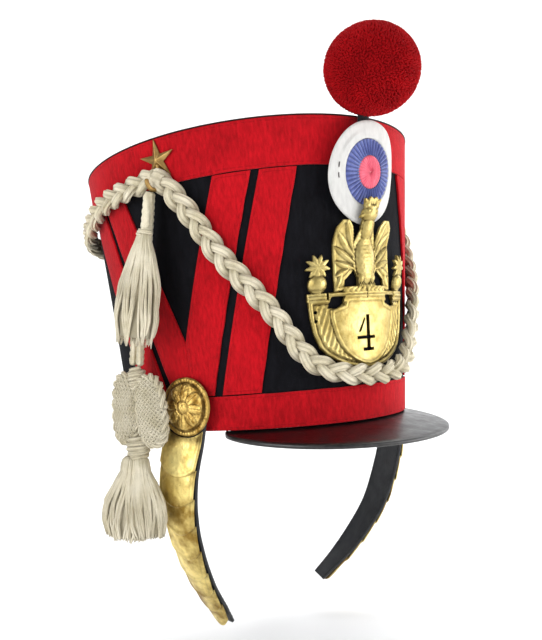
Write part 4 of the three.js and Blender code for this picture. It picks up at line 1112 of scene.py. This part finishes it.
EAGLE_DOMES = [
    # x, y, half width, half height and rise of the breast, the neck and the head
    (0, 95, 8.4, 15, 4.6), (0, 113, 4.8, 9, 3.4), (0, 122, 6.2, 5.4, 4.0),
]
CLAW_X, CLAW, TOES, TOE = 4.6, (84.6, 2.9, 3.6, 3.6), (-1.6, 0, 1.6), (80.2, 0.95, 2.3, 3.2)
SCALLOP_WIDTH, SCALLOP_HEIGHT, BREAST_FROM, BREAST_TO = 2.6, 2.3, 84, 117
EYE_X, EYE_Y = 3.4, 123.2
GRENADE_X, BALL_Y, BALL_R, BALL_RISE = 33.7, 81.6, 5.7, 3.9
FLAME_Y, FLAME_IN, FLAME_TONGUE, FLAME_TONGUES = 91.8, 4.4, 3.4, 9
WING_GAP = [(6.5, 79.8), (16.6, 79.8), (16, 83.6), (12, 87), (9.2, 89.6), (6.8, 85)]
HORN_GAP = [(16.6, 74.2), (25.6, 74.2), (28, 67.6), (22, 67.2), (18, 69.6)]
FOUR = [
    [(-1.8, 42), (0.8, 42), (0.8, 62.6), (-1.8, 62.6)], [(-4.8, 41), (3.6, 41), (3.6, 43), (-4.8, 43)],
    [(-9, 48.3), (5, 48.3), (5, 50), (-9, 50)], [(-8, 52.7), (-6.2, 52.7), (-2.8, 59.8), (-3.4, 61)],
]
RIVET_HOLES, RIVET_RADIUS = [(-35.2, 60.5), (-35.2, 65.7)], 1.05


def inside_distance(x, y, outline):
    """How far each point is inside an outline, negative outside it."""
    p = np.array(outline, float)
    q = np.roll(p, -1, axis=0)
    best = np.full(x.shape, 1e9)
    inside = np.zeros(x.shape, bool)
    for (ax, ay), (bx, by) in zip(p, q):
        run = (bx - ax, by - ay)
        t = np.clip(((x - ax) * run[0] + (y - ay) * run[1]) / (run[0] ** 2 + run[1] ** 2 + 1e-12), 0, 1)
        best = np.minimum(best, np.hypot(x - ax - t * run[0], y - ay - t * run[1]))
        crosses = (ay > y) != (by > y)
        inside ^= crosses & (x < (bx - ax) * (y - ay) / (by - ay + 1e-12) + ax)
    return np.where(inside, best, -best)


def both_halves(half):
    return half + [(-x, y) for x, y in half[::-1]]


def bell(value, centre, width):
    return np.exp(-((value - centre) / width) ** 2)


def shoulder(distance, width):
    """A rounded rise from 0 at the edge to 1 once it is this far in."""
    t = np.clip(distance / width, 0, 1)
    return np.sqrt(1 - (1 - t) ** 2)


def ridge(distance, centre, half):
    """A round bead over a line, 1 on it and 0 from a half width away."""
    return np.sqrt(np.clip(1 - ((distance - centre) / half) ** 2, 0, 1))


class Relief:
    """How far inside the plate's outline each point is, and the height of the front face there."""

    def __init__(self, x, y):
        self.x, self.y, self.side_x = x, y, np.abs(x)
        self.solid = inside_distance(x, y, both_halves(SHIELD))
        self.height = PLATE_SHEET + 1.2 * ridge(self.solid, 1.3, 1.3) + 0.35 * ridge(self.solid, 4.4, 0.9)

    def reach(self, height, where):
        self.height = np.where(where, np.maximum(self.height, height), self.height)

    def lift(self, rise, where=True):
        self.height = self.height + np.where(where, rise, 0)

    def cut(self, distance):
        self.solid = np.minimum(self.solid, distance)

    def part(self, name, halves=True):
        """A raised part with rounded shoulders. Returns how far inside it each point is."""
        outline, base, rise, width = PARTS[name]
        distance = inside_distance(self.side_x if halves else self.x, self.y, outline)
        self.solid = np.maximum(self.solid, distance)
        self.reach(base + rise * shoulder(distance, width), distance > 0)
        return distance

    def dome(self, x, y, half_x, half_y, top):
        r = np.hypot((self.x - x) / half_x, (self.y - y) / half_y)
        self.solid = np.maximum(self.solid, (1 - r) * min(half_x, half_y))
        self.reach(top * np.sqrt(np.clip(1 - r ** 2, 0, 1)), r < 1)
        return r < 1

    def inner_shield(self):
        inner = inside_distance(self.x, self.y, both_halves(INNER_SHIELD))
        self.height = np.where(inner > 0, 1.45 + 0.55 * shoulder(inner, 14), self.height)
        self.reach(1.1 + 1.1 * ridge(inner, 0.6, 1.3), inner > -0.8)
        fold = np.abs(np.sin((self.side_x - 26) * 0.9 + self.y * 0.32))
        self.lift(0.35 * fold ** 3, (inner < -1.2) & (self.solid > 3.2))

    def feather(self, root_x, root_y, tip_x, tip_y, half, rise):
        """A pointed vane with barbs and a quill. It adds no metal of its own."""
        run = np.array([tip_x - root_x, tip_y - root_y])
        length = np.hypot(*run)
        run = run / length
        u = ((self.side_x - root_x) * run[0] + (self.y - root_y) * run[1]) / length
        v = (self.y - root_y) * run[0] - (self.side_x - root_x) * run[1]
        wide = half * np.sin(np.clip(u * 1.12, 0, 1) * np.pi * 0.72 + 0.25)
        wide = np.where((u > 0) & (u < 1.04), wide * np.sqrt(np.clip((1.04 - u) / 0.2, 0, 1)), 0)
        vane = np.clip(1 - (v / np.maximum(wide, 0.05)) ** 2, 0, 1)
        barbs = 0.09 * np.sin((u * length - np.abs(v) * 1.1) * 5.2)
        height = PLATE_SHEET + np.sqrt(vane) * (rise + barbs + 0.25 * bell(v, 0, 0.28))
        self.reach(height, (vane > 0) & (wide > 0.1))

    def eagle(self):
        wing = self.part("wing")
        self.reach(0.9 + 0.75 * ridge(wing, 1.1, 1.1), wing > 0)
        for feather in FEATHERS:
            self.feather(*feather)
        torso = self.part("body")
        for dome in EAGLE_DOMES:
            self.dome(*dome)
        row = self.y / SCALLOP_HEIGHT
        column = self.x / SCALLOP_WIDTH + (np.floor(row) % 2) / 2
        scallop = np.hypot(column % 1 - 0.5, row % 1 - 0.95)
        breast = (torso > 0.5) & (self.y > BREAST_FROM) & (self.y < BREAST_TO)
        self.lift(0.3 * np.clip(0.75 - scallop, 0, 0.5), breast)
        self.part("beak", halves=False)
        for eye_x in (-EYE_X, EYE_X):
            r = np.hypot(self.x - eye_x, self.y - EYE_Y)
            self.lift(0.45 * bell(r, 0, 0.7) - 0.4 * bell(r, 1.5, 0.45))
        crown = self.part("crown") > 0
        self.lift(0.3 * np.cos(self.x * 2.1), crown & (self.y > 126.6))
        self.lift(0.5 * bell(self.y, 125.8, 0.7), crown)
        block = self.part("block")
        self.lift(0.45 * np.abs(np.sin(self.x * 0.8 + np.sin(self.y * 1.4))), block > 0.4)
        for claw_x in (-CLAW_X, CLAW_X):
            self.dome(claw_x, *CLAW)
            for toe in TOES:
                self.dome(claw_x + toe, *TOE)
        bar = self.part("bar")
        self.lift(0.25 * np.cos((self.y - 74.2) * 3.2), bar > 0)

    def grenade(self, x):
        ball = self.dome(x, BALL_Y, BALL_R, BALL_R, BALL_RISE)
        self.lift(-0.4 * bell(self.y, BALL_Y - 3.4, 0.5), ball)
        turn = np.arctan2(self.y - FLAME_Y, self.x - x)
        r = np.hypot(self.x - x, self.y - FLAME_Y)
        tongue = np.abs(((turn / TURN * FLAME_TONGUES + 0.25) % 1) - 0.5) * 2
        edge = FLAME_IN + FLAME_TONGUE * tongue ** 1.3
        self.solid = np.maximum(self.solid, (edge - r) * 0.55)
        self.reach(1.0 + 1.5 * ridge(r, 0, 7.9) * (0.75 + 0.25 * tongue), r < edge)


def plate_relief(x, y):
    relief = Relief(x, y)
    relief.inner_shield()
    relief.eagle()
    for side in (-1, 1):
        relief.grenade(side * GRENADE_X)
    relief.part("flame_neck")
    cap = relief.part("horn_cap")
    relief.lift(0.3 * np.cos((y - 74.1) * 2.6), cap > 0)
    for gap in (WING_GAP, HORN_GAP):
        relief.cut(-inside_distance(relief.side_x, y, gap))
    for stroke in FOUR:
        relief.cut(-inside_distance(x, y, stroke))
    for hole_x, hole_y in RIVET_HOLES:
        relief.cut(np.hypot(x - hole_x, y - hole_y) - RIVET_RADIUS)
    return relief.solid, relief.height


def plate_place(x, y, out):
    level = y / FRONT_HEIGHT
    turned_x = x * np.where(x > 0, PLATE_LEFT_SHARE, 1)
    angle = np.degrees(turned_x / (RIM_HALF[0] + (TOP_HALF[0] - RIM_HALF[0]) * level))
    head_lean = PLATE_LEAN * np.clip((y - PLATE_LEAN_FROM) / (PLATE_LEAN_TO - PLATE_LEAN_FROM), 0, 1)
    horn_lean = HORN_LEAN * np.clip((y - HORN_FROM) / (HORN_TO - HORN_FROM), 0, 1)
    lean = np.where(np.abs(x) > PLATE_WING_EDGE, horn_lean, head_lean)
    return hat_point(angle, level, out + PLATE_BACK + lean)


def blurred(field, passes):
    for _ in range(passes):
        padded = np.pad(field, 1, mode="edge")
        field = (padded[:-2, 1:-1] + padded[2:, 1:-1] + padded[1:-1, :-2] + padded[1:-1, 2:] + 2 * field) / 6
    return field


def onto_outline(x, y, solid, keep):
    """Slides the points on the cut edge onto the outline itself."""
    slope_x, slope_y = np.gradient(solid, PLATE_CELL)
    steep = np.sqrt(slope_x ** 2 + slope_y ** 2 + 0.05)
    cells = np.pad(keep, 1)
    around = np.stack([cells[:-1, :-1], cells[1:, :-1], cells[1:, 1:], cells[:-1, 1:]])
    rim = around.any(0) & ~around.all(0) & (np.abs(solid) < 1.6 * PLATE_CELL)
    push = np.clip(-solid / steep, -0.6 * PLATE_CELL, 0.6 * PLATE_CELL) * rim
    return x + push * slope_x / steep, y + push * slope_y / steep


def add_plate():
    x, y = np.meshgrid(np.arange(*PLATE_X, PLATE_CELL), np.arange(*PLATE_Y, PLATE_CELL), indexing="ij")
    solid, height = plate_relief(x, y)
    inside = solid > -0.25 * PLATE_CELL
    keep = inside[:-1, :-1] & inside[1:, :-1] & inside[1:, 1:] & inside[:-1, 1:]
    x, y = onto_outline(x, y, solid, keep)
    smooth = blurred(height, 1)
    hollow = np.clip((blurred(height, 5) - smooth) * 5.0 + (blurred(height, 30) - smooth) * 0.6, 0, 1)
    hollow = np.maximum(hollow, 0.7 * (np.abs(solid) < 0.5 * PLATE_CELL))
    build = Build()
    build.sheet(plate_place(x, y, smooth), plate_place(x, y, 0 * smooth), x, y, (hollow, 0.6, 0.35), keep)
    build.piece("plate_brass_sheet", PLATE_BRASS, ("plate",), sharp=55)


add_plate()


# Stars with their hooks

STAR_ANGLE, STAR_LEVEL = {-1: 67.5, 1: 75.5}, 0.926
STAR_OUTER, STAR_INNER, STAR_RIM, STAR_APEX = 12.6, 4.3, 1.0, 3.2
HOOK_WIRE = 1.3
HOOK_ROWS = [
    # up and out from the star's centre
    (-2, 1.4), (-9, 1.8), (-14.5, 2.6), (-17, 5.5), (-17.3, 9), (-17, 12.5), (-14.5, 15), (-11, 15.4),
]


def add_star(side, name):
    origin, around, up, out = hat_frame(side * STAR_ANGLE[side], STAR_LEVEL, CLOTH_OUTER + CLEARANCE)

    def place(x, y, z):
        return origin + np.multiply.outer(x, around) + np.multiply.outer(y, up) + np.multiply.outer(z, out)

    i = np.arange(10)
    j = (i + 1) % 10
    turn = np.pi / 2 + TURN * i / 10
    radius = np.where(i % 2, STAR_INNER, STAR_OUTER)
    x, y = radius * np.cos(turn), radius * np.sin(turn)
    foot, rim, apex = 20, i + 10, 21
    build = Build()
    points = [place(x, y, 0 * x), place(x, y, 0 * x + STAR_RIM), [place(0, 0, 0)], [place(0, 0, STAR_APEX)]]
    build.add(np.vstack(points), np.stack([rim, j + 10, 0 * i + apex], 1), (0.0, 0.0, 0.0))
    build.join(np.stack([j, i, 0 * i + foot], 1), 0.5)
    build.join(np.stack([i, j, j + 10, rim], 1), 0.25)
    hook_up, hook_out = np.array(HOOK_ROWS).T
    path, _ = resample(smooth_path(place(0 * hook_up, hook_up, hook_out))[0], 0.9)
    add_strand(build, path, HOOK_WIRE, 20, depth=0.1, **ROUND_WIRE)
    node = f"star_hook_{name}"
    build.piece(f"{node}_brass", STAR_BRASS, (node,), sharp=22, bevel=0.22)


# Chin straps, bosses and scales. Rows run from under the boss to the free tip, for the wearer's left.
# Both straps start the same, and then the left one bends further in.

STRAP_TOP = [
    # x, y, z, half width, turn of the width from the front-to-back line
    (85.7, -39.3, 25, 13, 19), (87, -37.4, 11, 14.5, 18.5), (88.5, -34.6, -5, 14.6, 16.5),
    (91, -30.4, -28, 14.2, 12.5),
]
STRAP_ENDS = {
    -1: [(88.4, -25.8, -52, 13.2, 10), (80, -20.6, -76, 11.2, 8), (66, -10.8, -99, 9.4, 6),
         (51, -1.6, -118, 8.2, 4), (40.6, 4, -131, 5.6, 3)],
    1: [(89.3, -24.8, -48, 13.6, 10.5), (84.9, -14.7, -73.6, 12.2, 8), (75.9, -3.9, -94.3, 10.9, 6),
        (66.2, 5, -109.4, 9.4, 4), (50.6, 13.2, -124.8, 6.8, 3)],
}
STRAP_SHEET, STRAP_SOFT = 2.2, 0.07
STRAP_STITCH, STRAP_STITCH_PITCH, STRAP_STITCH_FROM, STRAP_STITCH_SHARE = 2.7, 4.6, 33, 0.86
BOSS_RADIUS, BOSS_ALONG, BOSS_RIM = 17.6, 9.8, 14.6
BOSS_PETALS, BOSS_BEADS = 8, 48
BOSS_RISE, DOME_RISE, LEAF_RISE, VEIN_DEEP, KNOB_RISE, BEAD_RISE = 1.6, 2.4, 0.9, 0.35, 1.9, 0.45
DOME_RADIUS, KNOB_RADIUS, BEAD_RADIUS = 15.2, 4.3, 15.9
# Under the boss, back to its middle: radius and height
BOSS_UNDER = [(BOSS_RADIUS, 0.4), (BOSS_RADIUS - 0.4, 0.0), (8.0, 0.0), (0.4, 0.0)]
SCALE_COUNT, SCALE_LAP, SCALE_CROWN, SCALE_SHEET = 8, 1.35, 2.0, 0.85
SCALE_OVERHANG, SCALE_ROUND, SCALE_HOLLOW = 0.8, 0.26, 0.75
# Leaves the front edge of the leather in view
SCALE_STEP_BACK = 1.6


class Strap:
    """One chin strap's line, and places on and over it."""

    def __init__(self, side):
        self.side = side
        self.rows = np.array(STRAP_TOP + STRAP_ENDS[side])
        self.line, self.row = smooth_path(self.rows[:, :3], 60)
        self.at = lengths(self.line)
        self.length = self.at[-1]

    def frame(self, along):
        """The line's place, tangent, width and outward directions, and half width."""
        at = np.clip(along, 0, self.length)
        row = np.interp(at, self.at, self.row)
        half_width, turn = (np.interp(row, np.arange(len(self.rows)), self.rows[:, k]) for k in (3, 4))
        turn = np.radians(turn)
        ahead, behind = np.minimum(at + 1.5, self.length), np.maximum(at - 1.5, 0)
        tangent = unit(on_path(self.line, self.at, ahead) - on_path(self.line, self.at, behind))
        across = np.stack([-np.sin(turn), -np.cos(turn), 0 * turn], -1)
        across = unit(across - (across * tangent).sum(-1, keepdims=True) * tangent)
        return on_path(self.line, self.at, at), tangent, across, unit(np.cross(across, tangent)), half_width

    def point(self, along, across_share, height, extra=0.0):
        arrays = (np.asarray(v, float) for v in (along, across_share, height))
        along, across_share, height = np.broadcast_arrays(*arrays)
        point, _, across, out, half_width = self.frame(along)
        point = point + (across_share * (half_width + extra))[..., None] * across + height[..., None] * out
        return point * (self.side, 1, 1)


def flat_section(steps, half_thick, soft):
    """Across share and height round a flat section with rounded sides."""
    top = [(v, half_thick) for v in np.linspace(-1 + soft, 1 - soft, steps)]
    turn = np.linspace(np.pi / 2, -np.pi / 2, 5)[1:-1]
    right = [(1 - soft + soft * np.cos(t), half_thick * np.sin(t)) for t in turn]
    return np.array(top + right + [(v, -h) for v, h in top[::-1]] + [(-v, -h) for v, h in right])


def add_strap(strap, name):
    section = flat_section(16, STRAP_SHEET / 2, STRAP_SOFT)[::strap.side]
    along = np.linspace(0, strap.length, 110)
    points = strap.point(along[:, None], section[:, 0][None, :], section[:, 1][None, :])
    edge = np.clip((np.abs(section[:, 0]) - STRAP_STITCH_SHARE) / (1 - STRAP_STITCH_SHARE), 0, 1)
    build = Build()
    build.rings(points, along, edge[None, :])
    bulge = np.sin(np.linspace(0, np.pi, 5))
    for share in (-STRAP_STITCH_SHARE, STRAP_STITCH_SHARE):
        for start in np.arange(STRAP_STITCH_FROM, strap.length - 4, STRAP_STITCH_PITCH):
            run = np.linspace(start, start + STRAP_STITCH, 5)
            path = strap.point(run, share, 0.12 - STRAP_SHEET / 2 - 0.28 * bulge)
            add_strand(build, path, 0.3, 6, depth=1.0, **ROUND_WIRE)
    build.piece(f"strap_{name}_leather", STRAP_LEATHER, (f"strap_{name}",))


def add_scale(strap, node, start, length, lift, round_boss):
    """One domed scale with a beaded edge. The first one is hollowed to fit round the boss."""
    across = np.linspace(-1, 1, 33)[None, :]
    share = np.concatenate([np.linspace(0, 0.9, 16), [0.94, 0.97, 0.99, 1.0]])[:, None]
    half_width = strap.frame(np.array(start))[4]
    boss_edge = BOSS_RADIUS - np.sqrt(np.maximum(0, BOSS_RADIUS ** 2 - (across * half_width) ** 2))
    top = start - SCALE_HOLLOW * boss_edge * round_boss
    end = start + length * (1 - SCALE_ROUND * across ** 2)
    along = top + (end - top) * share
    lifted = lift * np.maximum(0, along - start) + SCALE_CROWN * (1 - across ** 2)
    height = STRAP_SHEET / 2 + CLEARANCE + lifted
    to_side = (1 - np.abs(across)) * half_width + 0 * share
    edge = np.minimum((1 - share) * (end - top), to_side)
    bead = 0.24 * ridge(edge, 1.25, 0.95) - 0.05 * bell(edge, 2.9, 0.5) - 0.3 * np.clip(1 - edge / 0.5, 0, 1)
    narrow = across * (1 - SCALE_STEP_BACK / half_width * (across > 0) * across)
    hollow = 0.22 * bell(edge, 2.6, 0.9) + 0.8 * np.clip(1 - (along - start) / 5.0, 0, 1)
    outer = strap.point(along, narrow, height + SCALE_SHEET + bead, SCALE_OVERHANG)
    inner = strap.point(along, narrow, height, SCALE_OVERHANG)
    build = Build()
    build.sheet(outer, inner, to_side, along, (np.clip(hollow, 0, 1), 0.7, 0.3), flip=strap.side < 0)
    build.piece(f"{node}_brass", TRIM_BRASS, (node,), sharp=50)


def add_scales(strap, name):
    first = BOSS_ALONG + BOSS_RADIUS + CLEARANCE
    pitch = (strap.length - 1 - first) / (SCALE_COUNT + SCALE_LAP - 1)
    lift = (SCALE_SHEET + 1.3 * CLEARANCE) / pitch
    for i in range(SCALE_COUNT):
        add_scale(strap, f"scale_{name}_{i + 1}", first + i * pitch, pitch * SCALE_LAP, lift, i == 0)


def add_boss(strap, name):
    """Petals round a knob inside a beaded rim, as rings from the middle out and back underneath."""
    point, tangent, across, out, _ = strap.frame(np.array(BOSS_ALONG))
    base = point + out * (STRAP_SHEET / 2 + CLEARANCE)
    radius = np.concatenate([np.linspace(0.25, 14.4, 34), np.linspace(14.7, BOSS_RADIUS, 12)])[:, None]
    turn = np.linspace(0, TURN, 192, endpoint=False)[None, :]
    petal, between = (np.abs(wave(BOSS_PETALS / 2 * turn)) for wave in (np.cos, np.sin))
    dome = BOSS_RISE + DOME_RISE * ridge(radius, 0, DOME_RADIUS)
    reach = 5.0 + 8.6 * petal ** 0.6
    leaf = LEAF_RISE * np.sqrt(np.clip(1 - (radius / reach) ** 4, 0, 1)) * (radius > 4.4)
    vein = VEIN_DEEP * bell(between * radius, 0, 0.7) * (radius > 5) * (radius < 12.5)
    knob = KNOB_RISE * ridge(radius, 0, KNOB_RADIUS)
    beads = BEAD_RISE * ridge(radius, BEAD_RADIUS, 1.1) * (0.75 + 0.25 * np.cos(BOSS_BEADS * turn))
    height = np.where(radius > BOSS_RIM, 1.55 + beads, dome + leaf - vein + knob)
    height = height * np.where(radius > BOSS_RADIUS - 0.5, 0.8, 1)
    hollow = np.clip((blurred(height, 10) - height) * 1.8 + 0.15, 0, 1)
    hollow = np.where((radius > 13.4) & (radius < 15.0), 0.9, hollow)
    under_radius, under_height = np.array(BOSS_UNDER).T[:, :, None]
    radius = np.vstack([radius, under_radius])
    height = np.vstack([height, under_height + 0 * turn])
    hollow = np.vstack([hollow, 0 * under_height + 0 * turn + 0.5])
    flat = (radius * np.sin(turn))[..., None] * across + (radius * np.cos(turn))[..., None] * tangent
    points = (base + flat + height[..., None] * out) * (strap.side, 1, 1)
    if strap.side > 0:
        points, hollow = points[:, ::-1], hollow[:, ::-1]
    build = Build()
    build.rings(points, np.arange(len(radius)) * 0.4, hollow)
    build.piece(f"boss_{name}_brass", BOSS_BRASS, (f"boss_{name}",))


for hat_side, side_name in SIDES:
    add_star(hat_side, side_name)
    chin_strap = Strap(hat_side)
    add_strap(chin_strap, side_name)
    add_scales(chin_strap, side_name)
    add_boss(chin_strap, side_name)


# Stage: a pale floor that runs up into its backdrop, and soft light. Lengths are in metres.

FLOOR, FLOOR_BACK, BACKDROP_CURVE, STAGE_HALF = -0.150, 0.9, 1.2, 5.0
HAT_MIDDLE = (0, 0, 0.05)
LIGHTS = [
    # name, place, what it looks at, size, power
    ("key", (-1.7, -0.3, 0.5), HAT_MIDDLE, (1.2, 1.2), 21),
    ("front", (0.3, -1.9, 0.7), HAT_MIDDLE, (1.4, 1.0), 10),
    ("low", (0.5, -0.65, -0.05), (0.05, -0.05, 0.02), (0.5, 0.4), 4),
    ("fill", (1.7, -0.35, 0.7), HAT_MIDDLE, (1.0, 1.2), 13),
    ("wash", (0.9, 1.0, 2.2), (0.6, 1.0, 0.0), (2.4, 2.4), 60),
]
SKY, SKY_STRENGTH = (0.93, 0.96, 1.0, 1), 0.3


def add_stage():
    curve = np.linspace(0, np.pi / 2, 14)[1:]
    profile = [(4.0, 0.0), (-FLOOR_BACK, 0.0)]
    profile += [(-FLOOR_BACK - BACKDROP_CURVE * np.sin(t), BACKDROP_CURVE * (1 - np.cos(t))) for t in curve]
    profile += [(-FLOOR_BACK - BACKDROP_CURVE, STAGE_HALF)]
    back = unit(np.array(CAMERA_BACK) * (1, 1, 0))
    across = np.array([-back[1], back[0], 0])
    points = [back * run + across * w + (0, 0, FLOOR + rise) for w in (-STAGE_HALF, STAGE_HALF)
              for run, rise in profile]
    count = len(profile)
    faces = [(i, i + 1, count + i + 1, count + i) for i in range(count - 1)]
    mesh = bpy.data.meshes.new("backdrop")
    mesh.from_pydata(np.array(points).tolist(), [], faces)
    mesh.shade_smooth()
    s = Shader("backdrop", roughness=0.9)
    pale = s.ramp(s.noise(3, 2), (0.3, (248, 248, 248)), (0.7, (252, 252, 252)))
    mesh.materials.append(s.link(base_color=pale))
    add_to_scene("backdrop", mesh)


def add_light(name, place, target, size, power):
    data = bpy.data.lights.new(name, "AREA")
    data.shape = "RECTANGLE"
    data.size, data.size_y = size
    data.energy = power
    back = unit(np.array(place) - target)
    right = unit(np.cross((0, 0, 1), back))
    add_to_scene(name, data).matrix_world = facing(right, np.cross(back, right), back, place)


def add_world():
    world = bpy.data.worlds.new("studio")
    world.use_nodes = True
    shade = world.node_tree.nodes["Background"]
    shade.inputs["Color"].default_value = SKY
    shade.inputs["Strength"].default_value = SKY_STRENGTH
    bpy.context.scene.world = world


add_stage()
add_world()
for light in LIGHTS:
    add_light(*light)

bpy.context.scene.view_settings.view_transform = "Standard"
